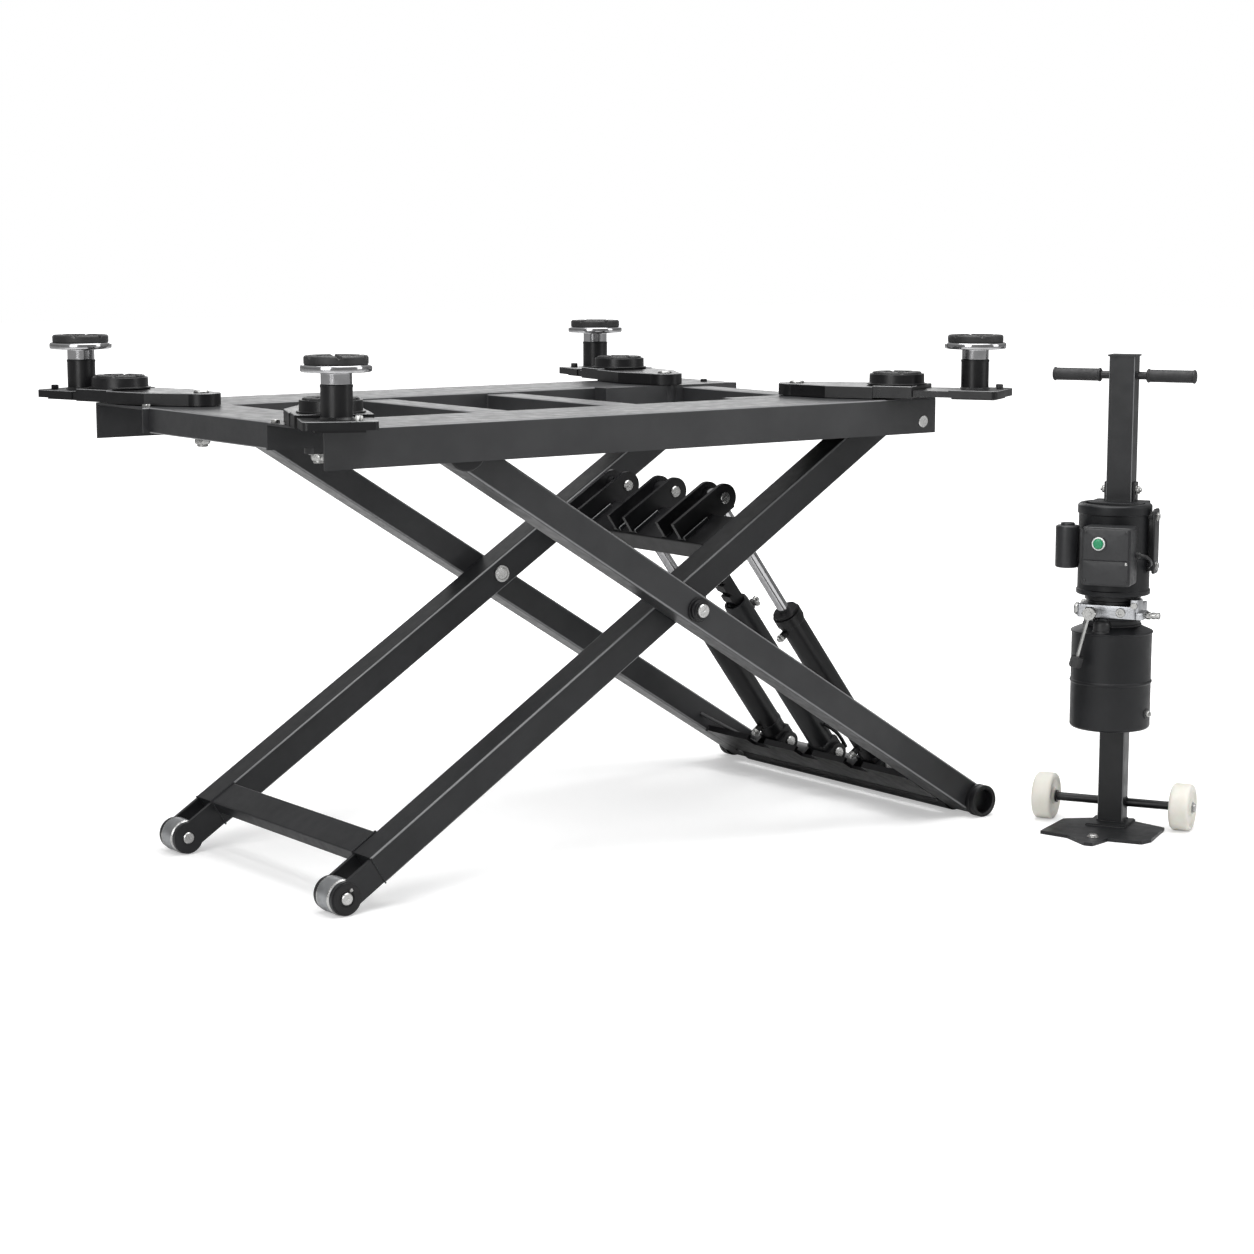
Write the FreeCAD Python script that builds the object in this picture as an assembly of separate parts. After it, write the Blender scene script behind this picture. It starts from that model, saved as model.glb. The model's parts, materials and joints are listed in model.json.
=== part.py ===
# Portable scissor car lift with its wheeled power unit.
# Units are millimetres. +X runs along the rails to the fixed end, +Y to the far side, +Z up.
# The origin is on the floor, under the middle of the whole set.
import FreeCAD, Part
import math
import os

V = FreeCAD.Vector
SIDES = {"near": -1, "far": 1}
ENDS = {"left": -1, "right": 1}

# Fits and cuts
RUN_FIT = 0.05          # radial clearance of a pin in its bore
SIDE_GAP = 0.3          # gap between faces that slide on each other
OVERRUN = 5.0           # how far a cutting tool passes a face

# Scissor legs
FLOOR_END_X = 1000.0    # axis of the floor tube
LEG_ANGLE = 32.0        # leg to floor, in degrees, as photographed
LEG_LOWER = 1003.0      # centre pin to floor end
LEG_UPPER = 728.0       # centre pin to rail end
LEG_DEPTH = 68.0
LEG_WIDTH = 73.0
LEG_WALL = 5.0
LEG_CORNER = 6.0        # outside radius of the legs' corners
TUBE_CORNER = 3.5       # outside radius of the smaller box sections
LEG_GAP = 4.0           # between an outer and an inner leg
LEG_TO_FLANGE = 37.0    # outer leg to the rail's outer flange
LEG_PLUG = 45.0         # solid end of a leg box
LEG_BOSS_RADIUS = 24.0
LEG_NOSE_CUT = 34.0     # how far the lower corner is cut back at the rail end
LEG_NOSE_RISE = 24.0
LEG_NOSE_REACH = 30.0

# Centre pins
CENTRE_PIN_RADIUS = 15.0
CENTRE_PIN_STICKOUT = 22.0
CENTRE_WASHER_RADIUS = 28.0
CENTRE_WASHER = 4.0
CENTRE_COLLAR_RADIUS = 20.0
CENTRE_COLLAR = 12.0
CENTRE_HEAD = 5.0

# Floor tube
FLOOR_TUBE_RADIUS = 38.0
FLOOR_TUBE_BORE = 28.0
FLOOR_SHAFT_RADIUS = 24.0
FLOOR_COLLAR = 27.0
FLOOR_END_DEPTH = 22.0
LEG_EYE_RADIUS = 34.0

# Floor rollers and their forks
ROLLER_WIDTH = 50.0
ROLLER_RECESS = 4.0
ROLLER_RIM = 7.0
AXLE_RADIUS = 13.0
AXLE_STICKOUT = 2.0
AXLE_SHOWN = 2.0
FORK_PLATE = 9.0
FORK_LENGTH = 90.0
FORK_RADIUS = 36.0
FORK_DEPTH = 60.0

# Inner cross members
LOWER_TIE_WIDTH = 67.0
LOWER_TIE_DEPTH = 34.0
TIE_WALL = 4.0
LOCK_BEAM_START = 178.0
LOCK_BEAM_WIDTH = 108.0
LOCK_BEAM_DEPTH = 46.0
LOCK_BEAM_TOP = 28.0
LOCK_BEAM_WALL = 5.0

# Struts: two cylinders and the safety lock between them
STRUT_SPACING = 185.0
LUG = 10.0
LUG_GAP = 50.0
LUG_TOP = 73.0
LUG_RADIUS = 33.0
LUG_TOE = 12.0
LUG_HEEL_DROP = 34.0
LUG_FOOT_WIDTH = 18.0
LUG_FOOT = 4.0
CLEVIS_X = 334.0
CLEVIS_Z = 38.0
STRUT_PIN_RADIUS = 13.0
STRUT_PIN_STICKOUT = 4.0
BASE_PIN_X = 908.0
BASE_PIN_Z = 9.0
BARREL_RADIUS = 31.0
BARREL_WALL = 5.0
BARREL_LENGTH = 500.0
BARREL_START = 34.0
BARREL_EYE_RADIUS = 26.0
GLAND_LENGTH = 30.0
GLAND_RECESS = 8.0
GLAND_LIP = 4.0
ROD_RADIUS = 14.0
ROD_EYE_RADIUS = 21.0
PISTON_START = 327.0    # base pin to the piston, lift raised
PISTON = 22.0
BARREL_FLOOR = 20.0
EYE_SHY = 2.0           # side gap of an eye between its lugs
BARREL_EYE_SHY = 1.0
PORT_RADIUS = 9.0
PORT_LENGTH = 16.0
SLEEVE_SIDE = 50.0
SLEEVE_WALL = 5.0
LOCK_BAR_SIDE = 34.0
LOCK_TEETH = 9
RELEASE_RADIUS = 6.0
RELEASE_LENGTH = 92.0
RELEASE_OFFSET = 80.0
EYE_NOTCH_START = 250.0 # the lock beam is notched here for the rod eyes

# Base beam between the outer legs
BASE_BEAM_START = 838.0
BASE_BEAM_WIDTH = 118.0
BASE_PLATE = 8.0
BASE_FLANGE_DEPTH = 15.0
BASE_NOTCH = 30.0       # the plate's edge is notched where a lowered strut lies
BASE_LUG_HALF = 40.0
BASE_LUG_RADIUS = 24.0
BASE_LUG_GAP = 66.0

# Rails and the top frame
RAIL_LENGTH = 1610.0
RAIL_PAST_PIVOT = 38.0  # leg pin to the rail's fixed end
FRAME_WIDTH = 996.0
RAIL_WIDTH = 229.0
RAIL_OUTER_DEPTH = 80.0
RAIL_INNER_DEPTH = 55.0
RAIL_SHEET = 5.0
RAIL_BEND = 4.0         # outside radius of the folded edges
RAIL_PIVOT_DROP = 53.0  # rail top to the leg pins
PIN_BOX_LENGTH = 404.0
PIN_BOX_WIDTH = 46.0
HANGER = 8.0
HANGER_GAP = 6.0
HANGER_LENGTH = 90.0
END_TIE_SETBACK = 14.0
END_TIE_WIDTH = 190.0
CROSS_BAR_WIDTH = 80.0
CROSS_BAR_SHARES = (0.363975, 0.579503)  # middle bars, as shares of the rail's length
CROSS_BAR_SETBACK = 133.0   # rail's right end to the third bar
FRAME_TIE_DEPTH = 50.0
RAIL_PIN_RADIUS = 15.0
RAIL_HOLE_RADIUS = 12.5
RAIL_PIN_CAP_RADIUS = 22.0

# Slide rollers on the outer legs
SLIDE_PIN_RADIUS = 12.0
SLIDE_ROLLER_SHY = 4.0  # roller face to the rail's outer flange

# Swing arms, seen from their pivots outwards
ARM_SETBACK_LEFT = 132.0   # rail end to the arm pivots
ARM_SETBACK_RIGHT = 205.0
ARM_SETIN = 19.0           # rail's inner edge to the arm pivots
ARM_HEADINGS = {"near_left": 245.6, "far_left": 110.0, "near_right": 300.0, "far_right": 81.0}
REACH_NEAR_LEFT = 345.0    # arm pivot to the screw pad
REACH_FAR_LEFT = 358.0
REACH_NEAR_RIGHT = 424.0
REACH_FAR_RIGHT = 375.0
ARM_LIFT = 2.0          # arm underside above the rail
ARM_ROOT_RADIUS = 42.0
ARM_ROOT_LENGTH = 208.0
ARM_NOSE_LENGTH = 300.0
ARM_TAPER_END = 96.0
ARM_ROOT_WIDTH = 158.0
ARM_NOSE_WIDTH = 154.0
ARM_DEPTH = 27.0
ARM_NOSE_SET = 2.0
ARM_SHEET = 4.0
ARM_CHAMFER = 1.2       # chamfer round the arms' upper edges
SLIDE_WIDTH = 142.0
SLIDE_DEPTH = 14.0
SLIDE_TIP = 70.0        # pad axis to the arm's tip
SLIDE_TAIL = 240.0      # pad axis back to the slide's inner end
TIP_START = 40.0        # pad axis back to the tip plate
TIP_WIDTH = 146.0
TIP_DEPTH = 17.0
TIP_CORNER = 12.0
TIP_RIB_WIDTH = 97.0
TIP_RIB = 5.0
LOW_PAD_REACH = 241.0
CUP_RADIUS = 62.0
CUP_HEIGHT = 25.0
CUP_WALL = 6.0
CUP_PLATE_RADIUS = 68.0
CUP_PLATE = 3.0
LOW_RUBBER_PROUD = 4.0
SOCKET_RADIUS = 31.0
SOCKET_BORE = 26.0
SOCKET_HEIGHT = 66.0
STEM_RADIUS = 25.9
STEM_NECK_RADIUS = 30.0
STEM_SHOWN = 24.0
STEM_INSIDE = 56.0
DISC_RADIUS = 69.0
DISC = 14.0
PAD_RADIUS = 62.0
PAD = 17.0
PAD_GROOVE = 6.0
PAD_GROOVE_DEPTH = 6.0
PAD_SPOKES = 3
TIP_BOLT_RADIUS = 8.0
TIP_BOLT_HEIGHT = 9.0
ARM_BOLT_RADIUS = 12.0
ARM_BOLT_HEAD_RADIUS = 17.0
ARM_BOLT_HEAD = 5.0
ARM_NUT_RADIUS = 18.0
ARM_NUT = 14.0
ARM_BOLT_TIP = 6.0
ARM_BOSS_RADIUS = 30.0
ARM_BOSS_DROP = 14.0
STOP_SETBACK_LEFT = 15.0   # rail end to the stop bolts
STOP_SETBACK_RIGHT = 43.0
STOP_SETIN_LEFT = 13.0     # rail's inner edge to the stop bolts
STOP_SETIN_RIGHT = 31.0
STOP_BOLT_RADIUS = 10.0
STOP_BOLT_HEIGHT = 7.0
STOP_BOLT_SHANK_RADIUS = 6.0

# Power unit on its hand truck. Local x runs along the axle, -y is its front.
TRUCK_X = 1183.0
TRUCK_Y = -723.5
TRUCK_HEADING = -61.0
POST_WIDTH = 60.0
POST_DEPTH = 50.0
POST_WALL = 3.0
POST_PAST_HANDLE = 48.0
POST_CAP = 4.0
POST_CAP_LIP = 2.5
FOOT_PLATE = 8.0
FOOT_BACK = 30.0
FOOT_HALF_WIDTH = 128.0
FOOT_REACH = 178.0
FOOT_TONGUE = 240.0
FOOT_PAD = 5.0
FOOT_PAD_HALF = 46.0
FOOT_PAD_FRONT = 64.0
TRUCK_AXLE_BACK = 10.0
TRUCK_AXLE_RADIUS = 10.0
TRUCK_WHEEL_RADIUS = 55.0
TRUCK_WHEEL_WIDTH = 46.0
TRUCK_WHEEL_TRACK = 326.0
TRUCK_WHEEL_RECESS = 5.0
TRUCK_HUB_RADIUS = 18.0
TRUCK_NUT_RADIUS = 12.4
TRUCK_NUT = 8.0
HANDLE_HEIGHT = 1056.0
HANDLE_HALF_WIDTH = 166.0
HANDLE_RADIUS = 9.0
GRIP_LENGTH = 113.0
GRIP_RADIUS = 14.5
GRIP_END = 5.0
GRIP_FLANGE = 5.0
GRIP_FLANGE_RADIUS = 16.5
UNIT_FRONT = 52.0       # post axis to the power unit's axis
MOTOR_BOTTOM = 557.0
MOTOR_TOP = 767.0
MOTOR_RADIUS = 82.0
MOTOR_CAP_RADIUS = 84.5
MOTOR_CAP = 24.0
MOTOR_RIM = 18.0
MOTOR_RECESS = 8.0
POST_EAR = 6.0
POST_EAR_HEIGHT = 44.0
POST_EAR_WIDTH = 30.0
POST_BOLT_RISE = 26.0
SMALL_BOLT_RADIUS = 5.0
SMALL_HEAD_RADIUS = 8.0
SMALL_HEAD = 6.0
FOOT_BOLT_RADIUS = 12.0
SIDE_PLATE = 6.0
SIDE_PLATE_WIDTH = 46.0
SIDE_PLATE_BOTTOM = 608.0
SIDE_PLATE_TOP = 757.0
SIDE_PLATE_FRONT = 50.0
SIDE_PLATE_X = 92.0
BRACKET_FOOT = 12.0
BRACKET_INSET = 12.0    # ends of the side plate to its feet
LEAD_RADIUS = 3.5       # motor lead, from the switch box to the bracket's lower foot
LEAD_GLAND_RADIUS = 8.0
LEAD_GLAND = 10.0
LEAD_HEIGHT = 658.0
LEAD_SETBACK = 55.0     # box front to the lead's gland
LEAD_BOW = 18.0         # how far the lead stands out from the box
BOX_LEFT = -40.0
BUTTON_X = 0.0
BOX_WIDTH = 112.0
BOX_FRONT = 190.0
BOX_BOTTOM = 591.0
BOX_HEIGHT = 133.0
BOX_CORNER = 6.0
BOX_FRAME = 5.0
BOX_FRAME_LIP = 4.0
BUTTON_HEIGHT = 687.0
BUTTON_RADIUS = 11.0
BUTTON_BORE = 11.5
BUTTON_PROUD = 7.0
BUTTON_TRAVEL = 4.0
BUTTON_DEPTH = 14.0
BEZEL_RADIUS = 16.0
BEZEL = 4.0
CAPACITOR_X = -90.0
CAPACITOR_FRONT = 128.0
CAPACITOR_RADIUS = 27.0
CAPACITOR_BOTTOM = 622.0
CAPACITOR_HEIGHT = 97.0
CAPACITOR_LID_RADIUS = 16.0
CAPACITOR_LID = 6.0
ADAPTOR_RADIUS = 64.0
BLOCK_TOP = 536.0
BLOCK_BOTTOM = 506.0
VALVE_HALF_WIDTH = 68.0
VALVE_FRONT = 60.0
VALVE_BACK = 58.0
VALVE_END = 18.0
VALVE_END_RISE = 16.0
TANK_RADIUS = 92.0
TANK_TOP = 472.0
TANK_BOTTOM = 245.0
TANK_NECK_RADIUS = 65.0
TANK_NECK_FOOT = 485.0
TANK_WALL = 3.0
TANK_BEAD = 2.5
TANK_BEAD_HEIGHT = 355.0
FILLER_FRONT = 70.0
FILLER_X = -6.0
FILLER_RADIUS = 20.0
FILLER_BOTTOM = 468.0
FILLER_HEIGHT = 26.0
FITTING_RADIUS = 15.0
FITTING = 14.0
COUPLER_RADIUS = 7.5
COUPLER_NUT_RADIUS = 8.25
LEVER_X = -26.0
LEVER_HEIGHT = 522.0
LEVER_STEM_RADIUS = 8.0
LEVER_STEM = 58.0
LEVER_SEAT = 16.0
LEVER_ROD_RADIUS = 4.5
LEVER_DROP = 104.0
LEVER_LEAN = 14.0
KNOB_RADIUS = 13.0
KNOB_HEIGHT = 24.0
DRAIN_HEIGHT = 284.0
DRAIN_ANGLE = 12.0

# Places that follow from the sizes above
ANGLE = math.radians(LEG_ANGLE)
COS, SIN = math.cos(ANGLE), math.sin(ANGLE)
FLOOR_AXIS = V(FLOOR_END_X, 0, FLOOR_TUBE_RADIUS)
CENTRE = V(FLOOR_END_X - LEG_LOWER * COS, 0, FLOOR_TUBE_RADIUS + LEG_LOWER * SIN)
OUTER_FACE_Y = FRAME_WIDTH / 2 - RAIL_SHEET - LEG_TO_FLANGE
OUTER_INNER_Y = OUTER_FACE_Y - LEG_WIDTH
INNER_FACE_Y = OUTER_INNER_Y - LEG_GAP
INNER_INNER_Y = INNER_FACE_Y - LEG_WIDTH
RAIL_TOP = CENTRE.z + LEG_UPPER * SIN + RAIL_PIVOT_DROP
RAIL_INNER_Y = FRAME_WIDTH / 2 - RAIL_WIDTH
SLIDE_PIN_END_Y = FRAME_WIDTH / 2 - RAIL_SHEET - SLIDE_ROLLER_SHY
HALF_LEG = LEG_DEPTH / 2
ARM_TOP = RAIL_TOP + ARM_LIFT + ARM_DEPTH
SLIDE_BOTTOM = RAIL_TOP + ARM_LIFT + ARM_SHEET + ARM_NOSE_SET
SLIDE_TOP = SLIDE_BOTTOM + SLIDE_DEPTH
UNIT = V(0, -UNIT_FRONT, 0)
POST_TOP = HANDLE_HEIGHT + POST_PAST_HANDLE
BRACKET_FEET_Z = [SIDE_PLATE_BOTTOM + BRACKET_INSET, SIDE_PLATE_TOP - BRACKET_INSET - BRACKET_FOOT]


def on_outer(x, z, y=0.0):
    """Point given along and across an outer leg, in the lift's frame."""
    return CENTRE + V(x * COS + z * SIN, y, -x * SIN + z * COS)


def on_inner(x, z, y=0.0):
    """Point given along and across an inner leg, in the lift's frame."""
    return CENTRE + V(x * COS - z * SIN, y, x * SIN + z * COS)


BASE_PIN = on_outer(BASE_PIN_X, BASE_PIN_Z)
CLEVIS_PIN = on_inner(CLEVIS_X, CLEVIS_Z)
STRUT = CLEVIS_PIN - BASE_PIN
STRUT_LENGTH = STRUT.Length
INNER_TOP = on_inner(LEG_UPPER, 0)
OUTER_TOP = on_outer(-LEG_UPPER, 0)
ROLLER_AXIS = on_inner(-LEG_LOWER, 0)
RAIL_RIGHT = INNER_TOP.x + RAIL_PAST_PIVOT
RAIL_LEFT = RAIL_RIGHT - RAIL_LENGTH
CROSS_BARS_X = [RAIL_LEFT + RAIL_LENGTH * share for share in CROSS_BAR_SHARES]
CROSS_BARS_X.append(RAIL_RIGHT - CROSS_BAR_SETBACK)
ARM_PIVOTS_X = {"left": RAIL_LEFT + ARM_SETBACK_LEFT, "right": RAIL_RIGHT - ARM_SETBACK_RIGHT}
ARM_PIVOT_Y = RAIL_INNER_Y - ARM_SETIN
ARM_REACHES = {"near_left": REACH_NEAR_LEFT, "far_left": REACH_FAR_LEFT,
               "near_right": REACH_NEAR_RIGHT, "far_right": REACH_FAR_RIGHT}
STOP_BOLTS_X = {"left": RAIL_LEFT + STOP_SETBACK_LEFT, "right": RAIL_RIGHT - STOP_SETBACK_RIGHT}
STOP_BOLTS_Y = {"left": RAIL_INNER_Y + STOP_SETIN_LEFT, "right": RAIL_INNER_Y + STOP_SETIN_RIGHT}


def box(x, y, z):
    """Box between pairs of limits along the three axes."""
    return Part.makeBox(x[1] - x[0], y[1] - y[0], z[1] - z[0], V(x[0], y[0], z[0]))


def rod_y(radius, x, y, z):
    """Cylinder along Y between the two limits in y."""
    return Part.makeCylinder(radius, y[1] - y[0], V(x, y[0], z), V(0, 1, 0))


def rod_z(radius, x, y, z):
    """Upright cylinder between the two limits in z."""
    return Part.makeCylinder(radius, z[1] - z[0], V(x, y, z[0]))


def rod_x(radius, x, y, z):
    """Cylinder along X between the two limits in x."""
    return Part.makeCylinder(radius, x[1] - x[0], V(x[0], y, z), V(1, 0, 0))


def hexagon(radius, start, direction, length):
    """Hexagonal bar of the given corner radius."""
    turn = math.pi / 3
    points = [V(radius * math.cos(i * turn), radius * math.sin(i * turn), 0) for i in range(6)]
    bar = Part.Face(Part.makePolygon(points + points[:1])).extrude(V(0, 0, length))
    bar.Placement = FreeCAD.Placement(start, FreeCAD.Rotation(V(0, 0, 1), direction))
    return bar


def prism_y(points, y):
    """Outline in X and Z, carried along Y between two limits."""
    corners = [V(px, y[0], pz) for px, pz in points]
    return Part.Face(Part.makePolygon(corners + corners[:1])).extrude(V(0, y[1] - y[0], 0))


def prism_z(points, z):
    """Outline in X and Y, carried up between two limits."""
    corners = [V(px, py, z[0]) for px, py in points]
    return Part.Face(Part.makePolygon(corners + corners[:1])).extrude(V(0, 0, z[1] - z[0]))


def hollow_box(x, y, z, wall, along):
    """Box section with a wall, open at the two ends along one axis."""
    limits = [x, y, z]
    core = [(lo + wall, hi - wall) for lo, hi in limits]
    lo, hi = limits[along]
    core[along] = (lo - OVERRUN, hi + OVERRUN)
    outside = rounded(box(*limits), TUBE_CORNER, (along_x, along_y, upright)[along])
    return outside.cut(box(*core))


def span(side, first, second):
    """Limits in y for a piece on the near or far side."""
    return tuple(sorted((side * first, side * second)))


def place(shape, axis_turn, where):
    """Turn about Y by an angle in degrees, then move."""
    moved = shape.copy()
    moved.rotate(V(0, 0, 0), V(0, 1, 0), axis_turn)
    moved.translate(where)
    return moved


def as_outer(shape):
    return place(shape, LEG_ANGLE, CENTRE)


def as_inner(shape):
    return place(shape, -LEG_ANGLE, CENTRE)


def as_strut(shape):
    """A strut is drawn along +X from its base pin, then turned to the clevis pin."""
    return place(shape, -math.degrees(math.atan2(STRUT.z, STRUT.x)), BASE_PIN)


def rounded(shape, radius, pick):
    edges = [edge for edge in shape.Edges if pick(edge)]
    return shape.makeFillet(radius, edges) if edges else shape


def chamfered(shape, size, pick):
    return shape.makeChamfer(size, [edge for edge in shape.Edges if pick(edge)])


def upright(edge):
    return abs(edge.tangentAt(edge.FirstParameter).z) > 0.99


def along_x(edge):
    return abs(edge.tangentAt(edge.FirstParameter).x) > 0.99


def along_y(edge):
    return abs(edge.tangentAt(edge.FirstParameter).y) > 0.99


def on_top(edge, height):
    """Whether all of an edge lies at a height."""
    return abs(edge.BoundBox.ZMin - height) < RUN_FIT and abs(edge.BoundBox.ZMax - height) < RUN_FIT


def leg_box(x, y):
    """Box section of a leg with solid ends, along X."""
    outside = rounded(box(x, y, (-HALF_LEG, HALF_LEG)), LEG_CORNER, along_x)
    hollow = box((x[0] + LEG_PLUG, x[1] - LEG_PLUG), (y[0] + LEG_WALL, y[1] - LEG_WALL),
                 (-HALF_LEG + LEG_WALL, HALF_LEG - LEG_WALL))
    boss = rod_y(LEG_BOSS_RADIUS, 0, y, 0)
    return outside.cut(hollow).fuse(boss)


def outer_leg(side):
    y = span(side, OUTER_INNER_Y, OUTER_FACE_Y)
    leg = leg_box((-LEG_UPPER, LEG_LOWER), y)
    for x in (-LEG_UPPER, LEG_LOWER):
        leg = leg.fuse(rod_y(LEG_EYE_RADIUS, x, y, 0))
    wide = (y[0] - OVERRUN, y[1] + OVERRUN)
    leg = leg.cut(rod_y(FLOOR_SHAFT_RADIUS + RUN_FIT, LEG_LOWER, wide, 0))
    leg = leg.cut(rod_y(CENTRE_PIN_RADIUS + RUN_FIT, 0, wide, 0))
    stub = rod_y(SLIDE_PIN_RADIUS, -LEG_UPPER, span(side, OUTER_FACE_Y, SLIDE_PIN_END_Y), 0)
    return as_outer(leg.fuse(stub).removeSplitter())


def slide_roller(side):
    y = span(side, OUTER_FACE_Y + SIDE_GAP, SLIDE_PIN_END_Y)
    radius = RAIL_PIVOT_DROP - RAIL_SHEET - SIDE_GAP
    bore = rod_y(SLIDE_PIN_RADIUS + RUN_FIT, 0, (y[0] - OVERRUN, y[1] + OVERRUN), 0)
    roller = rod_y(radius, 0, y, 0).cut(bore)
    roller.translate(OUTER_TOP)
    return roller


def inner_leg(side):
    y = span(side, INNER_INNER_Y, INNER_FACE_Y)
    box_start = -LEG_LOWER + FORK_LENGTH
    leg = leg_box((box_start, LEG_UPPER), y)
    tip = LEG_UPPER + LEG_NOSE_REACH
    rise = LEG_NOSE_RISE - HALF_LEG
    nose = [(LEG_UPPER - OVERRUN, rise - LEG_NOSE_RISE / 2), (tip, rise), (tip, HALF_LEG),
            (LEG_UPPER - OVERRUN, HALF_LEG)]
    leg = leg.fuse(prism_y(nose, y))
    corner = [(LEG_UPPER - LEG_NOSE_CUT, -HALF_LEG - OVERRUN), (tip + OVERRUN, -HALF_LEG - OVERRUN),
              (tip + OVERRUN, rise), (tip, rise)]
    leg = leg.cut(prism_y(corner, (y[0] - OVERRUN, y[1] + OVERRUN)))
    for start in (y[0] + SIDE_GAP, y[1] - SIDE_GAP - FORK_PLATE):
        plate = box((-LEG_LOWER, box_start), (start, start + FORK_PLATE), (-FORK_DEPTH / 2, FORK_DEPTH / 2))
        leg = leg.fuse(plate).fuse(rod_y(FORK_RADIUS, -LEG_LOWER, (start, start + FORK_PLATE), 0))
    wide = (y[0] - OVERRUN, y[1] + OVERRUN)
    leg = leg.cut(rod_y(AXLE_RADIUS + RUN_FIT, -LEG_LOWER, wide, 0))
    leg = leg.cut(rod_y(CENTRE_PIN_RADIUS + RUN_FIT, 0, wide, 0))
    leg = leg.cut(rod_y(RAIL_PIN_RADIUS + RUN_FIT, LEG_UPPER, wide, 0))
    return as_inner(leg.removeSplitter())


def floor_roller(side):
    """Steel roller with a shallow recess in each face."""
    middle = (INNER_INNER_Y + INNER_FACE_Y) / 2
    y = span(side, middle - ROLLER_WIDTH / 2, middle + ROLLER_WIDTH / 2)
    roller = rod_y(FLOOR_TUBE_RADIUS, 0, y, 0)
    for start, stop in ((y[0] - OVERRUN, y[0] + ROLLER_RECESS), (y[1] - ROLLER_RECESS, y[1] + OVERRUN)):
        ring = rod_y(FLOOR_TUBE_RADIUS - ROLLER_RIM, 0, (start, stop), 0)
        roller = roller.cut(ring.cut(rod_y(AXLE_RADIUS + ROLLER_RIM, 0, (start, stop), 0)))
    roller = roller.cut(rod_y(AXLE_RADIUS + RUN_FIT, 0, (y[0] - OVERRUN, y[1] + OVERRUN), 0))
    roller.translate(ROLLER_AXIS)
    return roller


def inner_lower_tie():
    x = (-LEG_LOWER + FORK_LENGTH, -LEG_LOWER + FORK_LENGTH + LOWER_TIE_WIDTH)
    return as_inner(hollow_box(x, (-INNER_INNER_Y, INNER_INNER_Y), (0, LOWER_TIE_DEPTH), TIE_WALL, 1))


def lug_plate(y):
    """One lug of the lock beam, in the inner leg's frame."""
    end = LOCK_BEAM_START + LOCK_BEAM_WIDTH
    heel = CLEVIS_Z - LUG_HEEL_DROP
    points = [(LOCK_BEAM_START + LUG_FOOT, LOCK_BEAM_TOP), (LOCK_BEAM_START + LUG_FOOT / 2, LUG_TOP),
              (CLEVIS_X, CLEVIS_Z + LUG_RADIUS), (CLEVIS_X + LUG_RADIUS, CLEVIS_Z),
              (CLEVIS_X + LUG_TOE, heel), (end, heel), (end, LOCK_BEAM_TOP)]
    plate = prism_y(points, y).fuse(rod_y(LUG_RADIUS, CLEVIS_X, y, CLEVIS_Z))
    bore = rod_y(STRUT_PIN_RADIUS + RUN_FIT, CLEVIS_X, (y[0] - OVERRUN, y[1] + OVERRUN), CLEVIS_Z)
    return plate.cut(bore)


def inner_lock_beam():
    x = (LOCK_BEAM_START, LOCK_BEAM_START + LOCK_BEAM_WIDTH)
    z = (LOCK_BEAM_TOP - LOCK_BEAM_DEPTH, LOCK_BEAM_TOP)
    beam = hollow_box(x, (-INNER_INNER_Y, INNER_INNER_Y), z, LOCK_BEAM_WALL, 1)
    half = LUG_GAP / 2
    for middle in (-STRUT_SPACING, 0, STRUT_SPACING):
        notch = box((EYE_NOTCH_START, x[1] + OVERRUN), (middle - half, middle + half),
                    (z[0] - OVERRUN, z[1] + OVERRUN))
        beam = beam.cut(notch)
    for middle in (-STRUT_SPACING, 0, STRUT_SPACING):
        for y in ((middle - half - LUG, middle - half), (middle + half, middle + half + LUG)):
            beam = beam.fuse(lug_plate(y))
            foot = (y[0] - LUG_FOOT, y[1] + LUG_FOOT)
            strip = box((x[0] + LUG_FOOT, x[0] + LUG_FOOT + LUG_FOOT_WIDTH), foot, (z[1], z[1] + LUG_FOOT))
            beam = beam.fuse(strip)
    return as_inner(beam.removeSplitter())


def inner_leg_pins():
    """Centre pins, roller axles and the stub pins of the lock beam's lugs."""
    pins = []
    for side in SIDES.values():
        reach = OUTER_FACE_Y + CENTRE_PIN_STICKOUT
        centre = rod_y(CENTRE_PIN_RADIUS, 0, span(side, INNER_INNER_Y, reach), 0)
        washer = rod_y(CENTRE_WASHER_RADIUS, 0,
                       span(side, OUTER_FACE_Y + SIDE_GAP, OUTER_FACE_Y + SIDE_GAP + CENTRE_WASHER), 0)
        collar_start = OUTER_FACE_Y + SIDE_GAP + CENTRE_WASHER
        collar = rod_y(CENTRE_COLLAR_RADIUS, 0, span(side, collar_start, collar_start + CENTRE_COLLAR), 0)
        head = rod_y(CENTRE_COLLAR_RADIUS, 0, span(side, INNER_INNER_Y - CENTRE_HEAD, INNER_INNER_Y), 0)
        pins.append(as_inner(centre.fuse([washer, collar, head])))
        axle_y = span(side, INNER_INNER_Y - AXLE_STICKOUT, INNER_FACE_Y + AXLE_SHOWN)
        axle = rod_y(AXLE_RADIUS, -LEG_LOWER, axle_y, 0)
        pins.append(as_inner(axle))
    for middle in (-STRUT_SPACING, 0, STRUT_SPACING):
        for side in SIDES.values():
            y = span(side, LUG_GAP / 2, LUG_GAP / 2 + LUG + STRUT_PIN_STICKOUT)
            stub = rod_y(STRUT_PIN_RADIUS, CLEVIS_X, (middle + y[0], middle + y[1]), CLEVIS_Z)
            pins.append(as_inner(stub))
    return Part.makeCompound(pins)


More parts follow.
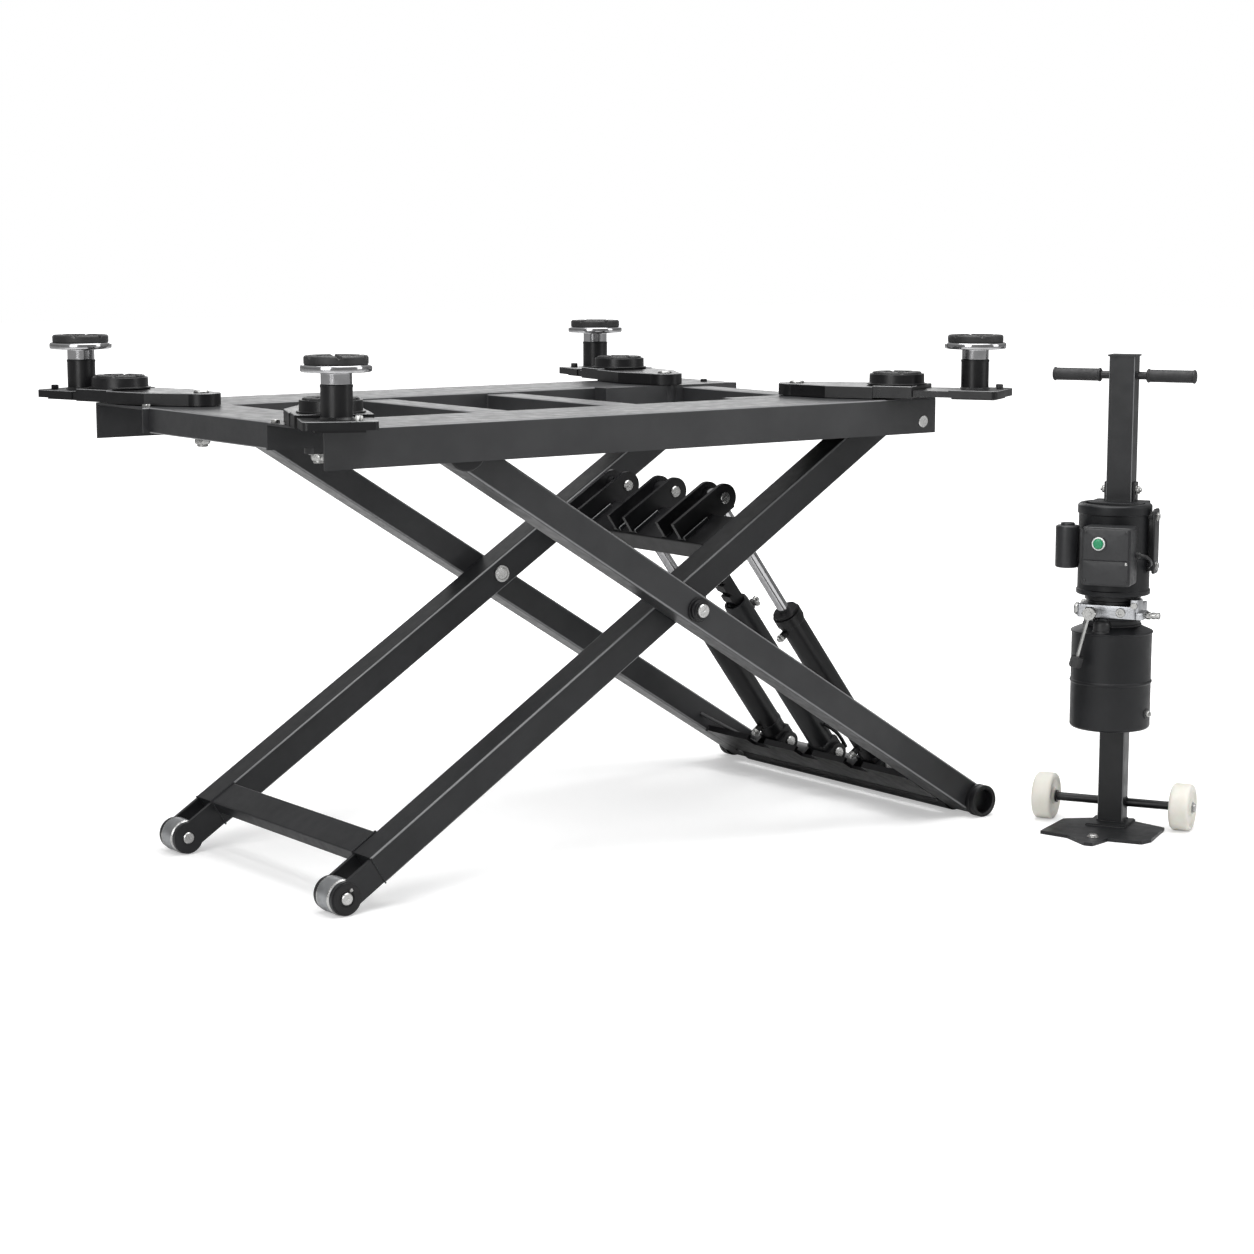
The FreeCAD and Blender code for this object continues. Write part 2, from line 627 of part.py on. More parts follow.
def base_beam():
    """Plate between the outer legs, with the lugs that carry the struts."""
    x = (BASE_BEAM_START, BASE_BEAM_START + BASE_BEAM_WIDTH)
    y = (-OUTER_INNER_Y, OUTER_INNER_Y)
    beam = box(x, y, (-HALF_LEG, -HALF_LEG + BASE_PLATE))
    flange_z = (-HALF_LEG, -HALF_LEG + BASE_FLANGE_DEPTH)
    for start in (x[0], x[1] - BASE_PLATE):
        beam = beam.fuse(box((start, start + BASE_PLATE), y, flange_z))
    for middle in (-STRUT_SPACING, 0, STRUT_SPACING):
        notch_y = (middle - BASE_LUG_GAP / 2, middle + BASE_LUG_GAP / 2)
        notch_z = (-HALF_LEG - OVERRUN, flange_z[1] + OVERRUN)
        beam = beam.cut(box((x[0] - OVERRUN, x[0] + BASE_NOTCH), notch_y, notch_z))
        for start in (middle - BASE_LUG_GAP / 2 - LUG, middle + BASE_LUG_GAP / 2):
            lug_y = (start, start + LUG)
            points = [(BASE_PIN_X - BASE_LUG_HALF, -HALF_LEG), (BASE_PIN_X - BASE_LUG_RADIUS, BASE_PIN_Z),
                      (BASE_PIN_X + BASE_LUG_RADIUS, BASE_PIN_Z), (BASE_PIN_X + BASE_LUG_HALF, -HALF_LEG)]
            lug = prism_y(points, lug_y).fuse(rod_y(BASE_LUG_RADIUS, BASE_PIN_X, lug_y, BASE_PIN_Z))
            beam = beam.fuse(lug)
        bore_y = (middle - BASE_LUG_GAP / 2 - LUG - OVERRUN, middle + BASE_LUG_GAP / 2 + LUG + OVERRUN)
        beam = beam.cut(rod_y(STRUT_PIN_RADIUS + RUN_FIT, BASE_PIN_X, bore_y, BASE_PIN_Z))
    return as_outer(beam.removeSplitter())


def base_pins():
    half = BASE_LUG_GAP / 2 + LUG + STRUT_PIN_STICKOUT
    pins = [rod_y(STRUT_PIN_RADIUS, BASE_PIN_X, (middle - half, middle + half), BASE_PIN_Z)
            for middle in (-STRUT_SPACING, 0, STRUT_SPACING)]
    return as_outer(Part.makeCompound(pins))


def strut_foot(middle):
    """Lower eye of a strut, in the strut's own frame."""
    half = BASE_LUG_GAP / 2 - BARREL_EYE_SHY
    y = (middle - half, middle + half)
    foot = rod_y(BARREL_EYE_RADIUS, 0, y, 0)
    return foot.fuse(box((0, BARREL_START), y, (-BARREL_EYE_RADIUS, BARREL_EYE_RADIUS)))


def strut_foot_bore(middle):
    half = BASE_LUG_GAP / 2
    return rod_y(STRUT_PIN_RADIUS + RUN_FIT, 0, (middle - half, middle + half), 0)


def cylinder_barrel(middle):
    """Barrel with its lower eye, a bore and a gland that guides the rod."""
    barrel = rod_x(BARREL_RADIUS, (BARREL_START, BARREL_LENGTH), middle, 0)
    gland = (BARREL_LENGTH - GLAND_LENGTH, BARREL_LENGTH - GLAND_RECESS)
    barrel = barrel.fuse(rod_x(BARREL_RADIUS + GLAND_LIP, gland, middle, 0))
    bore = (BARREL_START + BARREL_FLOOR, BARREL_LENGTH - GLAND_LENGTH)
    barrel = barrel.cut(rod_x(BARREL_RADIUS - BARREL_WALL, bore, middle, 0))
    barrel = barrel.cut(rod_x(ROD_RADIUS + RUN_FIT, (bore[1] - OVERRUN, BARREL_LENGTH + OVERRUN), middle, 0))
    for x in (BARREL_START + BARREL_FLOOR + PORT_LENGTH, BARREL_LENGTH - GLAND_LENGTH - PORT_LENGTH):
        port = rod_z(PORT_RADIUS, x, middle, (BARREL_RADIUS - BARREL_WALL / 2, BARREL_RADIUS + PORT_LENGTH))
        barrel = barrel.fuse(port)
    return as_strut(barrel.fuse(strut_foot(middle)).cut(strut_foot_bore(middle)))


def rod_eye(middle):
    half = LUG_GAP / 2 - EYE_SHY
    return rod_y(ROD_EYE_RADIUS, STRUT_LENGTH, (middle - half, middle + half), 0)


def rod_eye_bore(middle):
    return rod_y(STRUT_PIN_RADIUS + RUN_FIT, STRUT_LENGTH, (middle - LUG_GAP, middle + LUG_GAP), 0)


def cylinder_rod(middle):
    rod = rod_x(ROD_RADIUS, (PISTON_START, STRUT_LENGTH), middle, 0)
    piston = rod_x(BARREL_RADIUS - BARREL_WALL - RUN_FIT, (PISTON_START, PISTON_START + PISTON), middle, 0)
    return as_strut(rod.fuse([piston, rod_eye(middle)]).cut(rod_eye_bore(middle)))


def lock_sleeve():
    """Square outer tube of the safety lock, with its release handle."""
    half = SLEEVE_SIDE / 2
    sleeve = box((BARREL_START, BARREL_LENGTH), (-half, half), (-half, half))
    inner = half - SLEEVE_WALL
    bore = (BARREL_START + BARREL_FLOOR, BARREL_LENGTH - GLAND_LENGTH)
    sleeve = sleeve.cut(box(bore, (-inner, inner), (-inner, inner)))
    guide = LOCK_BAR_SIDE / 2 + SIDE_GAP
    sleeve = sleeve.cut(box((bore[1] - OVERRUN, BARREL_LENGTH + OVERRUN), (-guide, guide), (-guide, guide)))
    start = BARREL_LENGTH - GLAND_LENGTH - RELEASE_OFFSET
    handle = box((start, start + RELEASE_LENGTH), (-RELEASE_RADIUS, RELEASE_RADIUS),
                 (half, half + RELEASE_RADIUS))
    sleeve = sleeve.fuse([handle, strut_foot(0)])
    return as_strut(sleeve.cut(strut_foot_bore(0)))


def lock_bar():
    """Toothed bar that the safety lock's pawl holds."""
    half = LOCK_BAR_SIDE / 2
    bar = box((PISTON_START, STRUT_LENGTH), (-half, half), (-half, half))
    tooth = LOCK_BAR_SIDE / 4
    pitch = LOCK_BAR_SIDE
    for i in range(LOCK_TEETH):
        x = PISTON_START + pitch + i * pitch
        cut = [(x, half + OVERRUN), (x, half - tooth), (x + half, half), (x + half, half + OVERRUN)]
        bar = bar.cut(prism_y(cut, (-half - OVERRUN, half + OVERRUN)))
    return as_strut(bar.fuse(rod_eye(0)).cut(rod_eye_bore(0)))


def floor_tube():
    """Round bar that the outer legs turn on, with its end collars."""
    end = OUTER_FACE_Y + SIDE_GAP + FLOOR_COLLAR
    neck = OUTER_INNER_Y - SIDE_GAP
    tube = rod_y(FLOOR_TUBE_RADIUS, 0, (-neck, neck), 0)
    tube = tube.cut(rod_y(FLOOR_TUBE_BORE, 0, (-neck + LEG_PLUG, neck - LEG_PLUG), 0))
    for side in SIDES.values():
        tube = tube.fuse(rod_y(FLOOR_SHAFT_RADIUS, 0, span(side, neck, end), 0))
        tube = tube.fuse(rod_y(FLOOR_TUBE_RADIUS, 0, span(side, OUTER_FACE_Y + SIDE_GAP, end), 0))
        tube = tube.cut(rod_y(FLOOR_TUBE_BORE, 0, span(side, end - FLOOR_END_DEPTH, end + OVERRUN), 0))
    tube.translate(FLOOR_AXIS)
    return tube


def rail(side):
    """Rail channel with its pivot hanger, and the box that carries an arm."""
    x = (RAIL_LEFT, RAIL_RIGHT)
    outer = FRAME_WIDTH / 2
    top = (RAIL_TOP - RAIL_SHEET, RAIL_TOP)
    body = box(x, span(side, RAIL_INNER_Y, outer), top)
    outer_y = span(side, outer - RAIL_SHEET, outer)
    body = body.fuse(box(x, outer_y, (RAIL_TOP - RAIL_OUTER_DEPTH, RAIL_TOP)))
    inner_y = span(side, RAIL_INNER_Y, RAIL_INNER_Y + RAIL_SHEET)
    body = body.fuse(box(x, inner_y, (RAIL_TOP - RAIL_INNER_DEPTH, RAIL_TOP)))
    body = rounded(body.removeSplitter(), RAIL_BEND, lambda e: along_x(e) and on_top(e, RAIL_TOP))
    hang_y = span(side, INNER_INNER_Y - HANGER_GAP - HANGER, INNER_INNER_Y - HANGER_GAP)
    low = INNER_TOP.z - RAIL_PIN_CAP_RADIUS
    hang = box((INNER_TOP.x - HANGER_LENGTH / 2, INNER_TOP.x + HANGER_LENGTH / 2), hang_y, (low, top[0]))
    hang = hang.common(box(x, hang_y, (low, top[0])))
    body = body.fuse(hang)
    bore_y = span(side, RAIL_INNER_Y - OVERRUN, INNER_INNER_Y)
    body = body.cut(rod_y(RAIL_PIN_RADIUS + RUN_FIT, INNER_TOP.x, bore_y, INNER_TOP.z))
    hole_y = span(side, outer - RAIL_SHEET - OVERRUN, outer + OVERRUN)
    body = body.cut(rod_y(RAIL_HOLE_RADIUS + RUN_FIT, INNER_TOP.x, hole_y, INNER_TOP.z))
    for end in ENDS:
        where = (STOP_BOLTS_X[end], side * STOP_BOLTS_Y[end])
        through = (top[0] - OVERRUN, RAIL_TOP + OVERRUN)
        body = body.cut(rod_z(STOP_BOLT_SHANK_RADIUS + RUN_FIT, *where, through))
    return body.removeSplitter()


def arm_boss(end, side):
    """Upright bearing tube for an arm's pivot bolt, in front of the rail."""
    low = RAIL_TOP - RAIL_INNER_DEPTH - ARM_BOSS_DROP
    boss = rod_z(ARM_BOSS_RADIUS, ARM_PIVOTS_X[end], side * ARM_PIVOT_Y, (low, RAIL_TOP))
    block = box((ARM_PIVOTS_X[end] - ARM_BOSS_RADIUS, ARM_PIVOTS_X[end] + ARM_BOSS_RADIUS),
                span(side, ARM_PIVOT_Y, RAIL_INNER_Y), (RAIL_TOP - RAIL_INNER_DEPTH, RAIL_TOP))
    room = box((RAIL_LEFT, RAIL_RIGHT), span(side, 0, RAIL_INNER_Y), (low, RAIL_TOP))
    return boss.fuse(block).common(room)


def frame_ties():
    """Cross members between the rails, and the bosses of the arm pivots."""
    y = (-RAIL_INNER_Y, RAIL_INNER_Y)
    z = (RAIL_TOP - RAIL_SHEET - FRAME_TIE_DEPTH, RAIL_TOP - RAIL_SHEET)
    start = RAIL_LEFT + END_TIE_SETBACK
    ties = hollow_box((start, start + END_TIE_WIDTH), y, (z[0], RAIL_TOP), TIE_WALL, 1)
    ties = ties.fuse([arm_boss("left", side) for side in SIDES.values()])
    pieces = [cut_arm_bores(ties)]
    for middle in CROSS_BARS_X[:-1]:
        x = (middle - CROSS_BAR_WIDTH / 2, middle + CROSS_BAR_WIDTH / 2)
        pieces.append(hollow_box(x, y, z, TIE_WALL, 1))
    middle = CROSS_BARS_X[-1]
    box_y = RAIL_INNER_Y - PIN_BOX_WIDTH
    bar = hollow_box((middle - CROSS_BAR_WIDTH / 2 + TIE_WALL, middle + CROSS_BAR_WIDTH / 2 - TIE_WALL),
                     (-box_y, box_y), z, TIE_WALL, 1)
    end = RAIL_RIGHT
    for side in SIDES.values():
        pin_box = box((end - PIN_BOX_LENGTH, end), span(side, box_y, RAIL_INNER_Y), (z[0], RAIL_TOP))
        core_y = span(side, box_y + TIE_WALL, RAIL_INNER_Y + OVERRUN)
        core = box((end - PIN_BOX_LENGTH + TIE_WALL, end - TIE_WALL), core_y,
                   (z[0] - OVERRUN, RAIL_TOP - TIE_WALL))
        bar = bar.fuse(pin_box.cut(core)).fuse(arm_boss("right", side))
    pieces.append(cut_arm_bores(bar))
    return Part.makeCompound([piece.removeSplitter() for piece in pieces])


def cut_arm_bores(shape):
    for end in ENDS:
        for side in SIDES.values():
            bore = rod_z(ARM_BOLT_RADIUS + RUN_FIT, ARM_PIVOTS_X[end], side * ARM_PIVOT_Y,
                         (RAIL_TOP - RAIL_OUTER_DEPTH - OVERRUN, RAIL_TOP + OVERRUN))
            shape = shape.cut(bore)
    return shape


def top_frame_pins():
    """Leg pins, arm pivot bolts with nuts, and the arms' stop bolts."""
    pieces = []
    boss_low = RAIL_TOP - RAIL_INNER_DEPTH - ARM_BOSS_DROP
    for side in SIDES.values():
        neck = FRAME_WIDTH / 2 - RAIL_SHEET - SIDE_GAP
        pin_y = span(side, INNER_INNER_Y - HANGER_GAP - HANGER, neck)
        pin = rod_y(RAIL_PIN_RADIUS, INNER_TOP.x, pin_y, INNER_TOP.z)
        tip_y = span(side, neck, FRAME_WIDTH / 2 + SIDE_GAP)
        tip = rod_y(RAIL_HOLE_RADIUS, INNER_TOP.x, tip_y, INNER_TOP.z)
        pieces.append(pin.fuse(tip))
        for end in ENDS:
            x, y = ARM_PIVOTS_X[end], side * ARM_PIVOT_Y
            bolt = rod_z(ARM_BOLT_RADIUS, x, y, (boss_low - ARM_NUT - ARM_BOLT_TIP, ARM_TOP + SIDE_GAP))
            head = rod_z(ARM_BOLT_HEAD_RADIUS, x, y, (ARM_TOP + SIDE_GAP, ARM_TOP + SIDE_GAP + ARM_BOLT_HEAD))
            nut = hexagon(ARM_NUT_RADIUS, V(x, y, boss_low - ARM_NUT), V(0, 0, 1), ARM_NUT)
            pieces.append(bolt.fuse([head, nut]))
            where = (STOP_BOLTS_X[end], side * STOP_BOLTS_Y[end])
            shank = rod_z(STOP_BOLT_SHANK_RADIUS, *where, (RAIL_TOP - RAIL_SHEET, RAIL_TOP))
            cap = hexagon(STOP_BOLT_RADIUS, V(*where, RAIL_TOP), V(0, 0, 1), STOP_BOLT_HEIGHT)
            pieces.append(shank.fuse(cap))
    return Part.makeCompound(pieces)


def arm_outline(x_end):
    """Plan of an arm from its round pivot end to its square nose."""
    root, nose = ARM_ROOT_RADIUS, ARM_ROOT_WIDTH / 2
    return [(0, -root), (ARM_TAPER_END, -nose), (x_end, -nose),
            (x_end, nose), (ARM_TAPER_END, nose), (0, root)]


def arm_base():
    """Arm body along +X from its pivot, with the pocket that the slide runs in."""
    low = RAIL_TOP + ARM_LIFT
    z = (low, low + ARM_DEPTH)
    body = prism_z(arm_outline(ARM_ROOT_LENGTH), z).fuse(rod_z(ARM_ROOT_RADIUS, 0, 0, z)).removeSplitter()
    body = chamfered(body, ARM_CHAMFER, lambda e: on_top(e, z[1]))
    nose_z = (low + ARM_NOSE_SET, z[1] + ARM_NOSE_SET)
    nose = box((ARM_ROOT_LENGTH, ARM_NOSE_LENGTH), (-ARM_NOSE_WIDTH / 2, ARM_NOSE_WIDTH / 2), nose_z)
    nose = chamfered(nose, ARM_CHAMFER, lambda e: on_top(e, nose_z[1]))
    body = body.fuse(nose)
    half = SLIDE_WIDTH / 2 + SIDE_GAP
    pocket = box((ARM_TAPER_END, ARM_NOSE_LENGTH + OVERRUN), (-half, half),
                 (SLIDE_BOTTOM - SIDE_GAP, SLIDE_TOP + SIDE_GAP))
    body = body.cut(pocket)
    washer = rod_z(ARM_BOSS_RADIUS, 0, 0, (RAIL_TOP + SIDE_GAP, low))
    bore = rod_z(ARM_BOLT_RADIUS + RUN_FIT, 0, 0, (RAIL_TOP - OVERRUN, z[1] + OVERRUN))
    return body.fuse(washer).cut(bore).removeSplitter()


def low_pad():
    """Round rubber-faced pad fixed on an arm."""
    low = RAIL_TOP + ARM_LIFT + ARM_DEPTH + ARM_NOSE_SET
    plate = rod_z(CUP_PLATE_RADIUS, LOW_PAD_REACH, 0, (low, low + CUP_PLATE))
    plate = plate.cut(box((LOW_PAD_REACH - CUP_PLATE_RADIUS - OVERRUN, ARM_ROOT_LENGTH),
                          (-CUP_PLATE_RADIUS, CUP_PLATE_RADIUS), (low, low + CUP_PLATE)))
    step = (ARM_TOP, low)
    half_ring = rod_z(CUP_RADIUS, LOW_PAD_REACH, 0, step)
    behind = box((LOW_PAD_REACH - CUP_RADIUS, ARM_ROOT_LENGTH), (-CUP_RADIUS, CUP_RADIUS), step)
    half_ring = half_ring.common(behind)
    cup = rod_z(CUP_RADIUS, LOW_PAD_REACH, 0, (low, low + CUP_HEIGHT)).fuse([plate, half_ring])
    inner = CUP_RADIUS - CUP_WALL
    top = (low + CUP_PLATE, low + CUP_HEIGHT)
    cup = cup.cut(rod_z(inner, LOW_PAD_REACH, 0, (top[0], top[1] + OVERRUN)))
    rubber = rod_z(inner, LOW_PAD_REACH, 0, (top[0], top[1] + LOW_RUBBER_PROUD))
    rubber = grooved(rubber, LOW_PAD_REACH, inner, top[1] + LOW_RUBBER_PROUD)
    return Part.makeCompound([cup, rubber])


def grooved(pad, x, radius, top):
    """Cut a star of grooves into a pad's face."""
    for i in range(PAD_SPOKES):
        slot = box((-radius - OVERRUN, radius + OVERRUN), (-PAD_GROOVE / 2, PAD_GROOVE / 2),
                   (top - PAD_GROOVE_DEPTH, top + OVERRUN))
        slot.rotate(V(0, 0, 0), V(0, 0, 1), i * 180.0 / PAD_SPOKES)
        slot.translate(V(x, 0, 0))
        pad = pad.cut(slot)
    return pad


def arm_slide(reach):
    """Sliding bar of an arm, with the socket of its screw pad."""
    half = SLIDE_WIDTH / 2
    bar = box((reach - SLIDE_TAIL, reach + SLIDE_TIP), (-half, half), (SLIDE_BOTTOM, SLIDE_TOP))
    tip = box((reach - TIP_START, reach + SLIDE_TIP), (-TIP_WIDTH / 2, TIP_WIDTH / 2),
              (SLIDE_BOTTOM, SLIDE_BOTTOM + TIP_DEPTH))
    tip = rounded(tip, TIP_CORNER, lambda e: upright(e) and e.CenterOfMass.x > reach)
    tip = chamfered(tip, ARM_CHAMFER, lambda e: on_top(e, SLIDE_BOTTOM + TIP_DEPTH))
    bar = bar.cut(box((reach - TIP_START, reach + SLIDE_TIP + OVERRUN), (-half - OVERRUN, half + OVERRUN),
                      (SLIDE_BOTTOM, SLIDE_TOP)))
    rib = box((reach - TIP_START, reach + SLIDE_TIP - TIP_CORNER), (-TIP_RIB_WIDTH / 2, TIP_RIB_WIDTH / 2),
              (SLIDE_BOTTOM - TIP_RIB, SLIDE_BOTTOM))
    base = SLIDE_BOTTOM + TIP_DEPTH
    socket = rod_z(SOCKET_RADIUS, reach, 0, (base, base + SOCKET_HEIGHT))
    bolt_place = V(reach + SLIDE_TIP / 2 + TIP_CORNER, TIP_WIDTH / 4, base)
    bolt = hexagon(TIP_BOLT_RADIUS, bolt_place, V(0, 0, 1), TIP_BOLT_HEIGHT)
    slide = bar.fuse([tip, rib, socket, bolt])
    return slide.cut(rod_z(SOCKET_BORE, reach, 0, (base, base + SOCKET_HEIGHT + OVERRUN))).removeSplitter()


def pad_screw(reach):
    """Bright stem and disc that carry a rubber pad."""
    top = SLIDE_BOTTOM + TIP_DEPTH + SOCKET_HEIGHT
    stem = rod_z(STEM_RADIUS, reach, 0, (top - STEM_INSIDE, top + SIDE_GAP))
    neck = rod_z(STEM_NECK_RADIUS, reach, 0, (top + SIDE_GAP, top + STEM_SHOWN))
    disc = rod_z(DISC_RADIUS, reach, 0, (top + STEM_SHOWN, top + STEM_SHOWN + DISC))
    disc = disc.makeFillet(DISC / 3, [e for e in disc.Edges if e.Length > 2 * DISC_RADIUS])
    return stem.fuse([neck, disc])


def pad_rubber(reach):
    low = SLIDE_BOTTOM + TIP_DEPTH + SOCKET_HEIGHT + STEM_SHOWN + DISC
    pad = rod_z(PAD_RADIUS, reach, 0, (low, low + PAD))
    return grooved(pad, reach, PAD_RADIUS, low + PAD)


def as_arm(shape, name):
    """Turn a piece drawn along +X to an arm's heading, at its pivot."""
    side, end = name.split("_")
    moved = shape.copy()
    moved.rotate(V(0, 0, 0), V(0, 0, 1), ARM_HEADINGS[name])
    moved.translate(V(ARM_PIVOTS_X[end], SIDES[side] * ARM_PIVOT_Y, 0))
    return moved


def as_truck(shape):
    moved = shape.copy()
    moved.rotate(V(0, 0, 0), V(0, 0, 1), TRUCK_HEADING)
    moved.translate(V(TRUCK_X, TRUCK_Y, 0))
    return moved


def post(z):
    half_x, half_y = POST_WIDTH / 2, POST_DEPTH / 2
    return hollow_box((-half_x, half_x), (-half_y, half_y), z, POST_WALL, 2)


def lower_post():
    tube = post((FOOT_PLATE + FOOT_PAD, TANK_BOTTOM))
    half = POST_WIDTH / 2 + OVERRUN
    return tube.cut(rod_x(TRUCK_AXLE_RADIUS + RUN_FIT, (-half, half), TRUCK_AXLE_BACK, TRUCK_WHEEL_RADIUS))


def upper_post():
    """Handle post that stands on the motor, with ears and a cap."""
    tube = post((MOTOR_TOP, POST_TOP - POST_CAP))
    half_x, half_y = POST_WIDTH / 2, POST_DEPTH / 2
    cap = box((-half_x - POST_CAP_LIP, half_x + POST_CAP_LIP),
              (-half_y - POST_CAP_LIP, half_y + POST_CAP_LIP), (POST_TOP - POST_CAP, POST_TOP))
    tube = tube.fuse(cap)
    reach = POST_WIDTH / 2 + OVERRUN
    tube = tube.cut(rod_x(HANDLE_RADIUS + RUN_FIT, (-reach, reach), 0, HANDLE_HEIGHT))
    for side in SIDES.values():
        x = span(side, half_x, half_x + POST_EAR)
        ear = box(x, (-POST_EAR_WIDTH / 2, POST_EAR_WIDTH / 2), (MOTOR_TOP, MOTOR_TOP + POST_EAR_HEIGHT))
        tube = tube.fuse(ear)
    bolt = (-half_x - POST_EAR - OVERRUN, half_x + POST_EAR + OVERRUN)
    return tube.cut(rod_x(SMALL_BOLT_RADIUS + RUN_FIT, bolt, 0, MOTOR_TOP + POST_BOLT_RISE))


def foot_plate():
    """Base plate with a pointed front, and the pad that the post stands in."""
    half, back = FOOT_HALF_WIDTH, FOOT_BACK
    neck = POST_WIDTH / 2 + FOOT_PAD
    points = [(-half + back / 2, -back / 2), (-half, -FOOT_REACH + back / 2),
              (-half / 2 + FOOT_PAD, -FOOT_REACH - FOOT_PAD), (-FOOT_PAD, -FOOT_TONGUE),
              (FOOT_PAD * 3, -FOOT_TONGUE), (neck, -FOOT_REACH), (half - back / 2, -FOOT_REACH),
              (half, -FOOT_REACH + back), (half, -back / 2), (neck, back), (-neck, back)]
    plate = prism_z(points, (0, FOOT_PLATE))
    pad = box((-FOOT_PAD_HALF, FOOT_PAD_HALF), (-FOOT_PAD_FRONT, FOOT_BACK),
              (FOOT_PLATE, FOOT_PLATE + FOOT_PAD))
    return plate.fuse(pad)


def wheel_axle():
    """Axle with a washer inside each wheel and a nut outside it."""
    half = TRUCK_WHEEL_TRACK / 2 + TRUCK_WHEEL_WIDTH / 2
    where = (TRUCK_AXLE_BACK, TRUCK_WHEEL_RADIUS)
    axle = rod_x(TRUCK_AXLE_RADIUS, (-half - SIDE_GAP, half + SIDE_GAP), *where)
    pieces = []
    for side in SIDES.values():
        nut_x = span(side, half + SIDE_GAP, half + SIDE_GAP + TRUCK_NUT)
        pieces.append(rod_x(TRUCK_NUT_RADIUS, nut_x, *where))
        inner = half - TRUCK_WHEEL_WIDTH - SIDE_GAP
        washer_x = span(side, inner - TRUCK_WHEEL_RECESS, inner)
        pieces.append(rod_x(TRUCK_HUB_RADIUS - TRUCK_WHEEL_RECESS, washer_x, *where))
    return axle.fuse(pieces)


def truck_wheel(side):
    """Moulded wheel with a recess round the hub in each face."""
    middle = side * TRUCK_WHEEL_TRACK / 2
    x = (middle - TRUCK_WHEEL_WIDTH / 2, middle + TRUCK_WHEEL_WIDTH / 2)
    where = (TRUCK_AXLE_BACK, TRUCK_WHEEL_RADIUS)
    wheel = rod_x(TRUCK_WHEEL_RADIUS, x, *where)
    wheel = rounded(wheel, TRUCK_WHEEL_RECESS, lambda e: e.Length > TRUCK_WHEEL_RADIUS * 6)
    faces = ((x[0] - OVERRUN, x[0] + TRUCK_WHEEL_RECESS), (x[1] - TRUCK_WHEEL_RECESS, x[1] + OVERRUN))
    for start, stop in faces:
        ring = rod_x(TRUCK_WHEEL_RADIUS - 2 * TRUCK_WHEEL_RECESS, (start, stop), *where)
        wheel = wheel.cut(ring.cut(rod_x(TRUCK_HUB_RADIUS, (start, stop), *where)))
    return wheel.cut(rod_x(TRUCK_AXLE_RADIUS + RUN_FIT, (x[0] - OVERRUN, x[1] + OVERRUN), *where))


def handle_bar():
    reach = HANDLE_HALF_WIDTH - GRIP_END
    return rod_x(HANDLE_RADIUS, (-reach, reach), 0, HANDLE_HEIGHT)


def handle_grips():
    grips = []
    for side in SIDES.values():
        start, stop = HANDLE_HALF_WIDTH - GRIP_LENGTH, HANDLE_HALF_WIDTH
        grip = rod_x(GRIP_RADIUS, span(side, start, stop), 0, HANDLE_HEIGHT)
        flange = rod_x(GRIP_FLANGE_RADIUS, span(side, start, start + GRIP_FLANGE), 0, HANDLE_HEIGHT)
        bore = rod_x(HANDLE_RADIUS, span(side, start - OVERRUN, stop - GRIP_END), 0, HANDLE_HEIGHT)
        grips.append(grip.fuse(flange).cut(bore))
    return Part.makeCompound(grips)


def motor_housing():
    """Round motor casing with a lipped top cap, recessed where the post does not stand."""
    body = rod_z(MOTOR_RADIUS, UNIT.x, UNIT.y, (MOTOR_BOTTOM, MOTOR_TOP))
    for z in ((MOTOR_TOP - MOTOR_CAP, MOTOR_TOP), (MOTOR_BOTTOM, MOTOR_BOTTOM + MOTOR_CAP / 2)):
        body = body.fuse(rod_z(MOTOR_CAP_RADIUS, UNIT.x, UNIT.y, z))
    recess_z = (MOTOR_TOP - MOTOR_RECESS, MOTOR_TOP + OVERRUN)
    recess = rod_z(MOTOR_CAP_RADIUS - MOTOR_RIM, UNIT.x, UNIT.y, recess_z)
    seat = box((-POST_WIDTH, POST_WIDTH), (-POST_DEPTH, POST_DEPTH), recess_z)
    return body.cut(recess.cut(seat))


def motor_room():
    """Space of the motor, that what is bolted to it is shaped round."""
    room = rod_z(MOTOR_RADIUS + RUN_FIT, UNIT.x, UNIT.y, (MOTOR_BOTTOM, MOTOR_TOP))
    cap = rod_z(MOTOR_CAP_RADIUS + RUN_FIT, UNIT.x, UNIT.y, (MOTOR_TOP - MOTOR_CAP, MOTOR_TOP))
    return room.fuse(cap)


def control_box():
    """Switch box saddled on the motor, with a raised lid and a bezel round the button."""
    x = (BOX_LEFT, BOX_LEFT + BOX_WIDTH)
    z = (BOX_BOTTOM, BOX_BOTTOM + BOX_HEIGHT)
    body = rounded(box(x, (-BOX_FRONT, UNIT.y), z), BOX_CORNER, along_y)
    body = body.cut(motor_room())
    lid_y = (-BOX_FRONT - BOX_FRAME_LIP, -BOX_FRONT)
    lid = box((x[0] + BOX_FRAME, x[1] - BOX_FRAME), lid_y, (z[0] + BOX_FRAME, z[1] - BOX_FRAME))
    bezel = rod_y(BEZEL_RADIUS, BUTTON_X, (lid_y[0] - BEZEL, lid_y[0]), BUTTON_HEIGHT)
    body = body.fuse([lid, bezel])
    face = lid_y[0] - BEZEL
    bore_y = (face - OVERRUN, face + BUTTON_DEPTH + BUTTON_TRAVEL)
    return body.cut(rod_y(BUTTON_BORE, BUTTON_X, bore_y, BUTTON_HEIGHT))


def start_button():
    face = -BOX_FRONT - BOX_FRAME_LIP - BEZEL
    button_y = (face - BUTTON_PROUD, face + BUTTON_DEPTH - BUTTON_TRAVEL)
    button = rod_y(BUTTON_RADIUS, BUTTON_X, button_y, BUTTON_HEIGHT)
    return rounded(button, BUTTON_PROUD / 4, lambda e: e.BoundBox.YMax < face - BUTTON_PROUD / 2)


